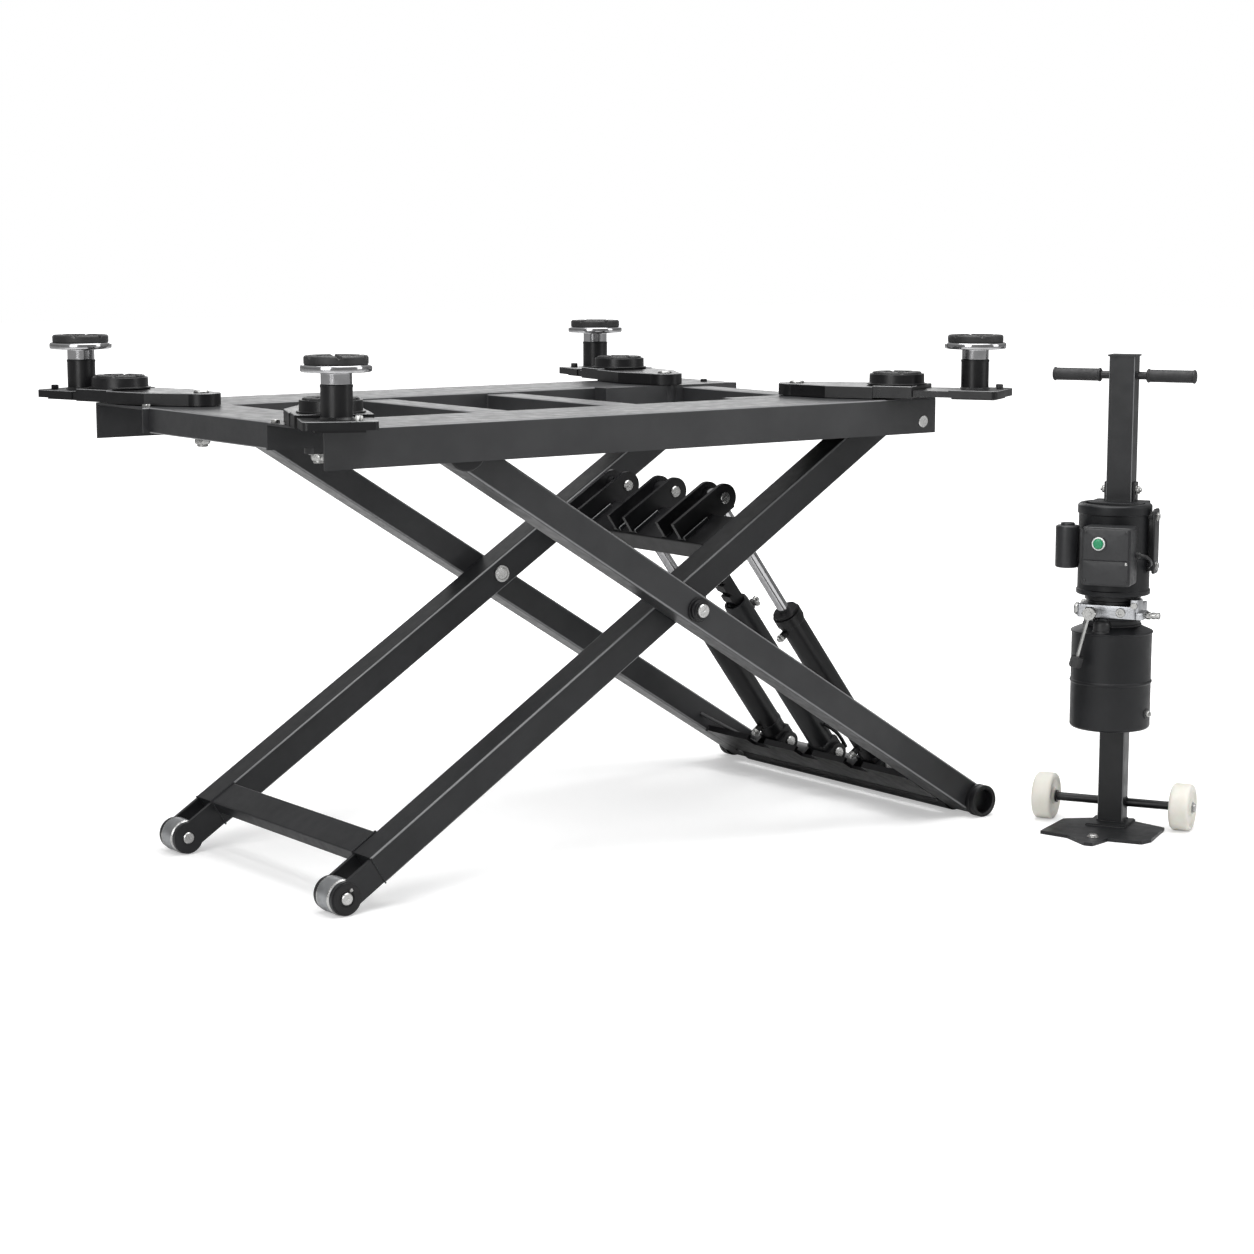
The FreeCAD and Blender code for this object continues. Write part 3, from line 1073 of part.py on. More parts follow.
def capacitor_cover():
    """Round cover beside the switch box, on a block that reaches the motor."""
    z = (CAPACITOR_BOTTOM, CAPACITOR_BOTTOM + CAPACITOR_HEIGHT)
    cover = rod_z(CAPACITOR_RADIUS, CAPACITOR_X, -CAPACITOR_FRONT, z)
    lid = rod_z(CAPACITOR_LID_RADIUS, CAPACITOR_X, -CAPACITOR_FRONT, (z[1], z[1] + CAPACITOR_LID))
    block = box((CAPACITOR_X, UNIT.x), (-CAPACITOR_FRONT, -CAPACITOR_FRONT + CAPACITOR_RADIUS),
                (z[0] + CAPACITOR_LID, z[1] - CAPACITOR_LID))
    room = box((BOX_LEFT, BOX_LEFT + BOX_WIDTH), (-BOX_FRONT, UNIT.y), (BOX_BOTTOM, BOX_BOTTOM + BOX_HEIGHT))
    return cover.fuse([lid, block]).cut(motor_room().fuse(room))


def motor_lead():
    """Short lead with its gland, held between the switch box and the bracket's lower foot."""
    start = V(BOX_LEFT + BOX_WIDTH, -BOX_FRONT + LEAD_SETBACK, LEAD_HEIGHT)
    gland = Part.makeCylinder(LEAD_GLAND_RADIUS, LEAD_GLAND, start, V(1, 0, 0))
    foot = V(SIDE_PLATE_X - BRACKET_FOOT / 2, -SIDE_PLATE_FRONT - SIDE_PLATE_WIDTH / 2 + SIDE_PLATE,
             BRACKET_FEET_Z[0] + BRACKET_FOOT / 2)
    first = start + V(LEAD_GLAND, 0, 0)
    run = foot - first
    points = [first, first + V(LEAD_BOW / 2, run.y / 8, run.z / 8),
              first + V(LEAD_BOW, run.y / 2, run.z * 2 / 3),
              foot + V(LEAD_RADIUS, -LEAD_BOW * 2 / 3, 0), foot]
    curve = Part.BSplineCurve()
    curve.interpolate(Points=points, InitialTangent=V(1, 0, 0), FinalTangent=V(0, 1, 0))
    spine = Part.Wire(curve.toShape())
    ring = Part.Wire(Part.makeCircle(LEAD_RADIUS, first, V(1, 0, 0)))
    return spine.makePipeShell([ring], True, True).fuse(gland)


def side_bracket():
    """Plate on two feet at the motor's side, for hanging up the lead, and the motor's own lead."""
    x = (SIDE_PLATE_X, SIDE_PLATE_X + SIDE_PLATE)
    y = (-SIDE_PLATE_FRONT - SIDE_PLATE_WIDTH / 2, -SIDE_PLATE_FRONT + SIDE_PLATE_WIDTH / 2)
    plate = box(x, y, (SIDE_PLATE_BOTTOM, SIDE_PLATE_TOP))
    feet = []
    for z in BRACKET_FEET_Z:
        feet.append(box((UNIT.x, x[0]), (y[0] + SIDE_PLATE, y[1] - SIDE_PLATE), (z, z + BRACKET_FOOT)))
    return Part.makeCompound([plate.fuse(feet).cut(motor_room()), motor_lead()])


def pump_adaptor():
    return rod_z(ADAPTOR_RADIUS, UNIT.x, UNIT.y, (BLOCK_TOP, MOTOR_BOTTOM))


def valve_block():
    """Machined block between pump and tank, with a lower end on the right."""
    z = (BLOCK_BOTTOM, BLOCK_TOP)
    block = box((-VALVE_HALF_WIDTH, VALVE_HALF_WIDTH), (UNIT.y - VALVE_FRONT, UNIT.y + VALVE_BACK), z)
    neck = rod_z(TANK_NECK_RADIUS, UNIT.x, UNIT.y, (TANK_NECK_FOOT, BLOCK_BOTTOM))
    end = box((VALVE_HALF_WIDTH, VALVE_HALF_WIDTH + VALVE_END), (UNIT.y - VALVE_FRONT, UNIT.y),
              (BLOCK_BOTTOM, BLOCK_BOTTOM + VALVE_END_RISE))
    face = UNIT.y - VALVE_FRONT
    seat = rod_y(LEVER_STEM_RADIUS + RUN_FIT, LEVER_X, (face - OVERRUN, face + LEVER_SEAT), LEVER_HEIGHT)
    return block.fuse([neck, end]).cut(seat)


def hydraulic_fittings():
    """Plugs on the block's left, and the hose coupler on its right."""
    z = (BLOCK_BOTTOM + BLOCK_TOP) / 2
    left = -VALVE_HALF_WIDTH
    right = VALVE_HALF_WIDTH + VALVE_END
    low = BLOCK_BOTTOM + VALVE_END_RISE / 2
    pieces = []
    for y in (UNIT.y - VALVE_FRONT / 2, UNIT.y + VALVE_BACK / 2):
        pieces.append(hexagon(FITTING_RADIUS, V(left, y, z), V(-1, 0, 0), FITTING))
    y = UNIT.y - VALVE_FRONT / 2
    coupler = hexagon(COUPLER_NUT_RADIUS, V(right, y, low), V(1, 0, 0), FITTING)
    coupler = coupler.fuse(rod_x(COUPLER_RADIUS, (right + FITTING, right + FITTING * 2), y, low))
    pieces.append(coupler)
    plug = V(VALVE_HALF_WIDTH / 2, UNIT.y - VALVE_FRONT, z)
    pieces.append(hexagon(FITTING_RADIUS, plug, V(0, -1, 0), FITTING / 2))
    return Part.makeCompound(pieces)


def oil_tank():
    """Round tank with a bead, a sloping shoulder and an open neck."""
    outer = rod_z(TANK_RADIUS, UNIT.x, UNIT.y, (TANK_BOTTOM, TANK_TOP))
    rise = TANK_NECK_FOOT - TANK_TOP
    shoulder = Part.makeCone(TANK_RADIUS, TANK_NECK_RADIUS, rise, V(UNIT.x, UNIT.y, TANK_TOP))
    bead_z = (TANK_BEAD_HEIGHT - TANK_BEAD, TANK_BEAD_HEIGHT + TANK_BEAD)
    bead = rod_z(TANK_RADIUS + TANK_BEAD, UNIT.x, UNIT.y, bead_z)
    rim = rod_z(TANK_RADIUS + TANK_BEAD, UNIT.x, UNIT.y, (TANK_TOP - TANK_WALL, TANK_TOP))
    shell = outer.fuse([shoulder, bead, rim])
    core_z = (TANK_BOTTOM + TANK_WALL, TANK_TOP - TANK_WALL)
    core = rod_z(TANK_RADIUS - TANK_WALL, UNIT.x, UNIT.y, core_z)
    mouth_z = (core_z[1] - TANK_WALL, TANK_NECK_FOOT + OVERRUN)
    mouth = rod_z(TANK_NECK_RADIUS - TANK_WALL, UNIT.x, UNIT.y, mouth_z)
    return shell.cut(core.fuse(mouth))


def filler_cap():
    cap = rod_z(FILLER_RADIUS, FILLER_X, UNIT.y - FILLER_FRONT, (TANK_TOP, FILLER_BOTTOM + FILLER_HEIGHT))
    room = rod_z(TANK_NECK_RADIUS, UNIT.x, UNIT.y, (TANK_NECK_FOOT, BLOCK_BOTTOM))
    rise = TANK_NECK_FOOT - TANK_TOP
    slope = Part.makeCone(TANK_RADIUS, TANK_NECK_RADIUS, rise, V(UNIT.x, UNIT.y, TANK_TOP))
    rim = rod_z(TANK_RADIUS + TANK_BEAD, UNIT.x, UNIT.y, (TANK_TOP - TANK_WALL, TANK_TOP))
    return cap.cut(room.fuse([slope, rim]))


def release_lever():
    """Valve stem with a bent rod and a knob, in front of the block."""
    face = UNIT.y - VALVE_FRONT
    stem = rod_y(LEVER_STEM_RADIUS, LEVER_X, (face - LEVER_STEM, face + LEVER_SEAT), LEVER_HEIGHT)
    lean = math.radians(LEVER_LEAN)
    along = V(-math.sin(lean), 0, -math.cos(lean))
    start = V(LEVER_X, face - LEVER_STEM + LEVER_STEM_RADIUS, LEVER_HEIGHT)
    rod = Part.makeCylinder(LEVER_ROD_RADIUS, LEVER_DROP, start, along)
    knob = hexagon(KNOB_RADIUS, start + along * LEVER_DROP, along, KNOB_HEIGHT)
    return stem.fuse([rod, knob])


def bolt_x(x, y, z, direction, shank):
    """Hex bolt whose head sits at x, with its shank pointing back along -direction."""
    head = hexagon(SMALL_HEAD_RADIUS, V(x, y, z), V(direction, 0, 0), SMALL_HEAD)
    body = rod_x(SMALL_BOLT_RADIUS, span(direction, abs(x) - shank, abs(x)), y, z)
    return head.fuse(body)


def truck_bolts():
    """Post bolt, bracket bolts, lid screw and drain plug."""
    half = POST_WIDTH / 2 + POST_EAR
    z = MOTOR_TOP + POST_BOLT_RISE
    post_bolt = bolt_x(half, 0, z, 1, half).fuse(bolt_x(-half, 0, z, -1, half))
    pieces = [post_bolt]
    plate = SIDE_PLATE_X + SIDE_PLATE
    for z in BRACKET_FEET_Z:
        seat = V(plate, -SIDE_PLATE_FRONT, z + BRACKET_FOOT / 2)
        pieces.append(hexagon(SMALL_HEAD_RADIUS, seat, V(1, 0, 0), SMALL_HEAD))
    turn = math.radians(DRAIN_ANGLE)
    out = V(math.cos(turn), -math.sin(turn), 0)
    seat = V(UNIT.x, UNIT.y, DRAIN_HEIGHT) + out * (TANK_RADIUS - TANK_WALL)
    plug = Part.makeCylinder(SMALL_BOLT_RADIUS, TANK_WALL * 2, seat, out)
    plug = plug.cut(rod_z(TANK_RADIUS, UNIT.x, UNIT.y, (TANK_BOTTOM, TANK_TOP)))
    plug = plug.fuse(hexagon(SMALL_HEAD_RADIUS, seat + out * TANK_WALL * 2, out, SMALL_HEAD))
    pieces.append(plug)
    foot = hexagon(FOOT_BOLT_RADIUS, V(0, -FOOT_REACH, FOOT_PLATE), V(0, 0, 1), SMALL_HEAD)
    pieces.append(foot)
    return Part.makeCompound(pieces)


def lift_nodes():
    nodes = {"floor_tube": floor_tube(), "outer_base_beam": base_beam(), "strut_pins_lower": base_pins(),
             "inner_lower_tie": inner_lower_tie(), "inner_lock_beam": inner_lock_beam(),
             "inner_leg_pins": inner_leg_pins(), "lock_sleeve": lock_sleeve(), "lock_bar": lock_bar(),
             "frame_ties": frame_ties(), "top_frame_pins": top_frame_pins()}
    for name, side in SIDES.items():
        nodes["outer_leg_" + name] = outer_leg(side)
        nodes["inner_leg_" + name] = inner_leg(side)
        nodes["rail_" + name] = rail(side)
    both = SIDES.values()
    nodes["slide_rollers"] = Part.makeCompound([slide_roller(side) for side in both])
    nodes["floor_rollers"] = Part.makeCompound([floor_roller(side) for side in both])
    struts = (-STRUT_SPACING, STRUT_SPACING)
    nodes["cylinder_barrels"] = Part.makeCompound([cylinder_barrel(y) for y in struts])
    nodes["cylinder_rods"] = Part.makeCompound([cylinder_rod(y) for y in struts])
    return nodes


def arm_nodes():
    nodes = {}
    for name, reach in ARM_REACHES.items():
        nodes["arm_base_" + name] = as_arm(arm_base(), name)
        nodes["low_pad_" + name] = as_arm(low_pad(), name)
        nodes["arm_slide_" + name] = as_arm(arm_slide(reach), name)
        nodes["pad_screw_" + name] = as_arm(pad_screw(reach), name)
        nodes["pad_rubber_" + name] = as_arm(pad_rubber(reach), name)
    return nodes


def truck_nodes():
    pieces = {"lower_post": lower_post(), "upper_post": upper_post(), "foot_plate": foot_plate(),
              "wheel_axle": wheel_axle(), "wheel_left": truck_wheel(-1), "wheel_right": truck_wheel(1),
              "handle_bar": handle_bar(), "handle_grips": handle_grips(),
              "motor_housing": motor_housing(), "control_box": control_box(),
              "start_button": start_button(), "capacitor_cover": capacitor_cover(),
              "side_bracket": side_bracket(), "pump_adaptor": pump_adaptor(),
              "valve_block": valve_block(), "hydraulic_fittings": hydraulic_fittings(),
              "oil_tank": oil_tank(), "filler_cap": filler_cap(),
              "release_lever": release_lever(), "truck_bolts": truck_bolts()}
    return {name: as_truck(shape) for name, shape in pieces.items()}


NODES = {**lift_nodes(), **arm_nodes(), **truck_nodes()}
LIMITS = Part.makeCompound(list(NODES.values())).optimalBoundingBox(False, False)
ORIGIN = V(LIMITS.Center.x, LIMITS.Center.y, 0)

os.makedirs("parts", exist_ok=True)
for node, shape in NODES.items():
    shape.translate(-ORIGIN)
    shape.exportStep("parts/" + node + ".step")
    state = "valid" if shape.isValid() else "BAD"
    print(node, round(shape.Volume / 1000), "cm3,", len(shape.Solids), "solids", state)
size = [round(v, 1) for v in (LIMITS.XLength, LIMITS.YLength, LIMITS.ZLength)]
print(len(NODES), "nodes, box", size, "origin", ORIGIN)
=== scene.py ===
# %% [markdown]
# A portable scissor car lift, dressed for a studio picture.
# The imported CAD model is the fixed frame: every leg, rail and pin is already where it belongs.
# This lesson adds what the eye expects on the real thing: powder coat, chrome, moulded rubber,
# turned discs, a cast motor casing and weld seams. Each new piece is laid exactly over its CAD solid.

# %% Start from the frame
import math

import bpy
import numpy as np
from mathutils import Matrix, Vector
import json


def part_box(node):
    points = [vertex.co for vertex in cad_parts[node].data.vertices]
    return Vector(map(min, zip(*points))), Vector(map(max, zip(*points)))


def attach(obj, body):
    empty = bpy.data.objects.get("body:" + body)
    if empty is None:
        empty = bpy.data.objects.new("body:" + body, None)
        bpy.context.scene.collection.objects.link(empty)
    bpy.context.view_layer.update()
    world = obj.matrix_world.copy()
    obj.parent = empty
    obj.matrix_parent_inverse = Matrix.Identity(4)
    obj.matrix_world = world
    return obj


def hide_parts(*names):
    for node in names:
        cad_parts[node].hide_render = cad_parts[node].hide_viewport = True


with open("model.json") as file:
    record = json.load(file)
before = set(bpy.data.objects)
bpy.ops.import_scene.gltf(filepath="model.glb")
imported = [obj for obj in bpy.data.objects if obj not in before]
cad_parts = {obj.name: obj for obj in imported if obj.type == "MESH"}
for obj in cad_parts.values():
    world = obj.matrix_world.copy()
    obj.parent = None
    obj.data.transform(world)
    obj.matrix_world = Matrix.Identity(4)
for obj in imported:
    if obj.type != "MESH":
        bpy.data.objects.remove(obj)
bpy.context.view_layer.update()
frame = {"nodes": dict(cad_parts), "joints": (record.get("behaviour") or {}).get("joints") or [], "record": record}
JOINTS = {joint["name"]: joint for joint in frame["joints"]}
MM = 0.001
print("frame loaded:", len(frame["nodes"]), "nodes")

# %% [markdown]
# All measures below are in millimetres in two handy frames. The lift's own frame has its floor tube
# at x = 1000, and the power unit's frame has x along its axle and -y towards its front.
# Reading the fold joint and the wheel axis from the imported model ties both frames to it.

# %% Two working frames
FLOOR_TUBE = Vector((1000.0, 0.0, 38.0))
LIFT = Matrix.Translation(Vector(JOINTS["fold"]["pos_m"]) - FLOOR_TUBE * MM) @ Matrix.Scale(MM, 4)
wheel_pair = [Vector(JOINTS["wheel_" + side + "_spin"]["pos_m"]) for side in ("left", "right")]
AXLE_BACK = 10.0
across = (wheel_pair[1] - wheel_pair[0]).normalized()
UNIT_TURN = Matrix.Rotation(math.atan2(across.y, across.x), 4, "Z")
UNIT_FOOT = (wheel_pair[0] + wheel_pair[1]) / 2
UNIT_FOOT.z = 0
TRUCK = (Matrix.Translation(UNIT_FOOT) @ UNIT_TURN @ Matrix.Scale(MM, 4)
         @ Matrix.Translation((0, -AXLE_BACK, 0)))
print("power unit stands at", [round(v, 3) for v in TRUCK.translation])

# %% [markdown]
# Turned and moulded pieces are all one idea: a stack of closed rings joined into a skin.
# A disc is rings whose radius follows a profile, and a rounded slab is rings that shrink near its
# two faces. One helper joins any such stack with numpy and closes the ends, so no loop ever
# touches single vertices.

# %% Rings into a closed skin
SHARP = math.radians(32)
QUARTER = math.radians(90)
CORE = 0.3  # a turned solid starts this close to its axis, and its cap closes the rest


def solid(rings, loop=False, matrix=None):
    """Points, quads and triangles through an array of rings (rows, around, xyz). Row i joins row
    i + 1, and the last point of a row its first. The end rows close on their centres, or on each
    other in a loop."""
    rows, around = rings.shape[:2]
    index = np.arange(rows * around).reshape(rows, around)
    below, above = (index, np.roll(index, -1, 0)) if loop else (index[:-1], index[1:])
    quads = np.stack([below, np.roll(below, -1, 1), np.roll(above, -1, 1), above], -1).reshape(-1, 4)
    points, caps = rings.reshape(-1, 3), np.zeros((0, 3), int)
    if not loop:
        points = np.vstack([points, rings[0].mean(0), rings[-1].mean(0)])
        first, last, centre = index[0], index[-1], np.full(around, rows * around)
        caps = np.vstack([np.stack([np.roll(first, -1), first, centre], -1),
                          np.stack([last, np.roll(last, -1), centre + 1], -1)])
    if matrix is not None:
        place = np.array(matrix)
        points = points @ place[:3, :3].T + place[:3, 3]
    return points, quads, caps


def piece_of(name, solids, material, body, stands_for=None):
    """One piece made of several solids. It rides on a body and may stand for a CAD node."""
    starts = np.cumsum([0] + [len(points) for points, _, _ in solids])
    quads = np.vstack([quads + start for (_, quads, _), start in zip(solids, starts)])
    caps = np.vstack([caps + start for (_, _, caps), start in zip(solids, starts)])
    mesh = bpy.data.meshes.new(name)
    points = np.vstack([points for points, _, _ in solids])
    mesh.from_pydata(points.tolist(), [], quads.tolist() + caps.tolist())
    mesh.polygons.foreach_set("use_smooth", [True] * len(mesh.polygons))
    mesh.set_sharp_from_angle(angle=SHARP)
    mesh.materials.append(material)
    piece = bpy.data.objects.new(name, mesh)
    bpy.context.scene.collection.objects.link(piece)
    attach(piece, body)
    if stands_for:
        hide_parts(stands_for)
    return piece


def skin(name, rings, material, body, stands_for=None, loop=False, matrix=None):
    """Piece made of one solid."""
    return piece_of(name, [solid(rings, loop, matrix)], material, body, stands_for)


def soften(corners, radius, steps=5):
    """Path through corner points with each inner corner turned into a small curve.
    A corner P becomes the parabola (1-t)^2 A + 2t(1-t) P + t^2 B, with A and B one radius away."""
    corners = np.array(corners, float)
    radii = np.broadcast_to(radius, len(corners))
    t = np.linspace(0, 1, steps)[:, None]
    path = [corners[:1]]
    for before, here, after, reach in zip(corners[:-2], corners[1:-1], corners[2:], radii[1:-1]):
        to_before, to_after = before - here, after - here
        reach = min(reach, np.linalg.norm(to_before) * 0.49, np.linalg.norm(to_after) * 0.49)
        a = here + to_before / np.linalg.norm(to_before) * reach
        b = here + to_after / np.linalg.norm(to_after) * reach
        path.append((1 - t) ** 2 * a + 2 * t * (1 - t) * here + t ** 2 * b)
    path.append(corners[-1:])
    return np.vstack(path)


def turned(profile, around=64, centre=(0, 0), hexed=None):
    """Rings of a turned piece: each profile point (r, z) becomes a circle of radius r at height z.
    With hexed, a hexagon of that corner radius cuts every circle that is larger than it."""
    angle = np.linspace(0, 2 * np.pi, around, endpoint=False)
    radius = np.repeat(np.array(profile, float)[:, :1], around, 1)
    if hexed:
        flat = hexed * math.cos(math.pi / 6) / np.cos(np.mod(angle, math.pi / 3) - math.pi / 6)
        radius = np.minimum(radius, flat)
    z = np.repeat(np.array(profile, float)[:, 1:2], around, 1)
    return np.stack([centre[0] + radius * np.cos(angle), centre[1] + radius * np.sin(angle), z], -1)


def aimed(place, direction):
    """Matrix that puts a piece turned about +Z at a place, pointing along a direction."""
    turn = Vector((0, 0, 1)).rotation_difference(Vector(direction))
    return Matrix.Translation(place) @ turn.to_matrix().to_4x4()


def moved(base, x, y, z):
    """A frame shifted along its own axes."""
    return base @ Matrix.Translation((x, y, z))


def lathe(profile, edge=None, around=64, loop=False, matrix=None):
    """A turned solid. With an edge, the corners of its profile are softened by it first."""
    path = profile if edge is None else soften(profile, edge)
    return solid(turned(path, around), loop, matrix)


def hexagonal(radius, height, washer=0.0, thick=2.5):
    """Rings of a hex head or nut with a chamfered crown, on a round washer if it has a radius."""
    top = thick + height if washer else height
    foot = thick if washer else 0.0
    head = [(CORE, foot), (radius * 0.9, foot), (radius, foot + radius * 0.1),
            (radius, top - radius * 0.16), (radius * 0.82, top), (CORE, top)]
    parts = [turned(head, 48, hexed=radius)]
    if washer:
        parts.append(turned(soften([(CORE, 0), (washer, 0), (washer, thick), (CORE, thick)], 0.7), 48))
    return parts


def bolted(matrix, *sizes):
    """Solids of a hex head or nut at a place."""
    return [solid(rings, matrix=matrix) for rings in hexagonal(*sizes)]


def swept(path, radius, up=(0, 0, 1), around=12):
    """Rings of a round bar along a path of points. Each ring lies across the path's direction,
    turned so that its first point looks along the cross product of up and that direction."""
    path = np.array(path, float)
    along = np.gradient(path, axis=0)
    along /= np.linalg.norm(along, axis=1)[:, None]
    first = np.cross(up, along)
    first /= np.linalg.norm(first, axis=1)[:, None]
    second = np.cross(along, first)
    angle = np.linspace(0, 2 * np.pi, around, endpoint=False)[None, :, None]
    radius = np.broadcast_to(radius, len(path))[:, None, None]
    return path[:, None] + radius * (np.cos(angle) * first[:, None] + np.sin(angle) * second[:, None])


def bead(corners, radius=2.4, up=(0, 0, 1), step=1.1, pitch=4.6):
    """Rings of a weld bead through corner points. Its radius swells by a sine of the length
    along it, once per pitch, as the scales of a hand-laid weld do."""
    corners = np.array(corners, float)
    reach = np.concatenate([[0], np.cumsum(np.linalg.norm(np.diff(corners, axis=0), axis=1))])
    length = np.arange(0, reach[-1], step)
    path = np.stack([np.interp(length, reach, corners[:, axis]) for axis in range(3)], -1)
    return swept(path, radius * (1 + 0.14 * np.sin(2 * np.pi * length / pitch)), up, 8)


def smooth_path(points, count=40):
    """Quadratic curve through the middles of the runs between points, each point pulling it."""
    return soften(points, 1e6, count // max(len(points) - 2, 1))


def slab(size, corner, edge, steps=5):
    """Rings of a rounded block along Z: a rounded rectangle whose outline shrinks by
    e(1 - sin a) while it rises by e(1 - cos a) at each end, which rounds the rims."""
    width, depth, height = size
    angle = np.linspace(0, np.pi / 2, steps)
    inset = edge * (1 - np.sin(angle))
    rise = edge * (1 - np.cos(angle))
    insets = np.concatenate([inset, inset[::-1]])
    heights = np.concatenate([rise, height - rise[::-1]])
    quarter = np.linspace(0, np.pi / 2, steps)
    around = np.concatenate([quarter + i * np.pi / 2 for i in range(4)])
    sign = np.repeat([[1, 1], [-1, 1], [-1, -1], [1, -1]], steps, 0)
    rings = []
    for shrink, z in zip(insets, heights):
        radius = max(corner - shrink, 0.2)
        centre = sign * (np.array([width, depth]) / 2 - shrink - radius)
        xy = centre + radius * np.stack([np.cos(around), np.sin(around)], -1)
        rings.append(np.column_stack([xy, np.full(len(xy), z)]))
    return np.array(rings)


# %% [markdown]
# The steel is powder coated. Powder coat is a smooth plastic skin with a very fine orange peel,
# so it keeps one dark colour, a satin gloss and tiny dimples that break up its reflections.
# A second, larger noise changes the gloss a little, the way handling and dust do.

# %% Material helpers


def new_material(name, colour, roughness, metallic=0.0):
    """Principled material with plain socket values, ready for patterns on top."""
    material = bpy.data.materials.new(name)
    material.use_nodes = True
    shader = material.node_tree.nodes["Principled BSDF"]
    shader.inputs["Base Color"].default_value = (*colour, 1)
    shader.inputs["Roughness"].default_value = roughness
    shader.inputs["Metallic"].default_value = metallic
    return material, shader


def add(tree, kind, **values):
    """New shader node with plain values on its inputs. An underscore stands for a space."""
    node = tree.nodes.new("ShaderNode" + kind)
    for name, value in values.items():
        node.inputs[name.replace("_", " ")].default_value = value
    return node


def noise(material, scale, detail=3.0, stretch=(1, 1, 1)):
    """Noise on Object coordinates, in cycles per metre along each axis."""
    tree = material.node_tree
    where, mapping = add(tree, "TexCoord"), add(tree, "Mapping", Scale=stretch)
    pattern = add(tree, "TexNoise", Scale=scale, Detail=detail)
    tree.links.new(where.outputs["Object"], mapping.inputs["Vector"])
    tree.links.new(mapping.outputs["Vector"], pattern.inputs["Vector"])
    return pattern.outputs["Fac"]


def spread(material, value, low, high, start=0.3, stop=0.7):
    """Stretches a 0..1 pattern to a range of numbers."""
    node = add(material.node_tree, "MapRange", From_Min=start, From_Max=stop, To_Min=low, To_Max=high)
    material.node_tree.links.new(value, node.inputs["Value"])
    return node.outputs["Result"]


def blend_colours(material, value, first, second):
    """Colour that goes from the first to the second as the pattern rises."""
    node = material.node_tree.nodes.new("ShaderNodeMix")
    node.data_type = "RGBA"
    node.inputs["A"].default_value = (*first, 1)
    node.inputs["B"].default_value = (*second, 1)
    material.node_tree.links.new(value, node.inputs["Factor"])
    return node.outputs["Result"]


def dimples(material, shader, value, depth):
    """Fine surface relief, with its depth in metres."""
    bump = add(material.node_tree, "Bump", Distance=depth)
    material.node_tree.links.new(value, bump.inputs["Height"])
    material.node_tree.links.new(bump.outputs["Normal"], shader.inputs["Normal"])


# Mask of rounded corners, which says where the painted highlight goes.
def corner_highlight_mask(material, axis):
    """1 on corners rounded at 45 degrees to an axis, and 0 on faces along or across it.
    With d the object's own normal along the axis, |2 d^2 - 1| is 0 on the first and 1 on the others."""
    tree = material.node_tree
    where, along = add(tree, "TexCoord"), add(tree, "VectorMath")
    along.operation = "DOT_PRODUCT"
    along.inputs[1].default_value = axis
    square, double, size = (add(tree, "Math") for _ in range(3))
    square.operation, double.operation, size.operation = "MULTIPLY", "MULTIPLY_ADD", "ABSOLUTE"
    double.inputs[1].default_value, double.inputs[2].default_value = 2.0, -1.0
    tree.links.new(where.outputs["Normal"], along.inputs[0])
    tree.links.new(along.outputs["Value"], square.inputs[0])
    tree.links.new(along.outputs["Value"], square.inputs[1])
    tree.links.new(square.outputs[0], double.inputs[0])
    tree.links.new(double.outputs[0], size.inputs[0])
    return spread(material, size.outputs[0], 1, 0, 0.35, 0.92)


def powder_coat(name, dark, light, gloss, shine, peel=0.00006, corners=None):
    """Satin powder coat: cloudy colour between two close tones, cloudy gloss and orange peel.
    On rounded corners about an axis a painted highlight lifts the colour towards a pale grey, standing in for the
    light line those corners catch."""
    material, shader = new_material(name, dark, gloss)
    shader.inputs["Specular IOR Level"].default_value = shine
    link = material.node_tree.links.new
    colour = blend_colours(material, spread(material, noise(material, 9), 0, 1), dark, light)
    if corners:
        # Painted highlight: on rounded corners the base colour is lifted towards a pale grey.
        painted_highlight = blend_colours(material, corner_highlight_mask(material, corners), dark, CORNER_HIGHLIGHT_PAINT)
        mix = material.node_tree.nodes.new("ShaderNodeMix")
        mix.data_type, mix.blend_type = "RGBA", "LIGHTEN"
        mix.inputs["Factor"].default_value = 1.0
        link(colour, mix.inputs["A"])
        link(painted_highlight, mix.inputs["B"])
        colour = mix.outputs["Result"]
    link(colour, shader.inputs["Base Color"])
    link(spread(material, noise(material, 38), gloss - 0.05, gloss + 0.07), shader.inputs["Roughness"])
    dimples(material, shader, noise(material, 900, 2.0), peel)
    return material


def bright_metal(name, colour, gloss, grain, stretch=(1, 1, 1), cut=0.00002):
    """Bare metal: fine tool marks as stretched noise in both gloss and relief."""
    material, shader = new_material(name, colour, gloss, 1.0)
    link = material.node_tree.links.new
    marks = noise(material, grain, 4.0, stretch)
    link(spread(material, marks, gloss * 0.7, gloss * 1.4), shader.inputs["Roughness"])
    dull = [channel * 0.82 for channel in colour]
    cloud = spread(material, noise(material, 60), 0, 1)
    link(blend_colours(material, cloud, dull, colour), shader.inputs["Base Color"])
    dimples(material, shader, marks, cut)
    return material


def moulded(name, dark, light, gloss, grain, depth):
    """Rubber or plastic out of a mould: a spark-eroded grain and a faint bloom of paler colour."""
    material, shader = new_material(name, dark, gloss)
    link = material.node_tree.links.new
    bloom = spread(material, noise(material, 25), 0, 1)
    link(blend_colours(material, bloom, dark, light), shader.inputs["Base Color"])
    link(spread(material, noise(material, 120), gloss - 0.08, gloss + 0.1), shader.inputs["Roughness"])
    dimples(material, shader, noise(material, grain, 3.0), depth)
    return material
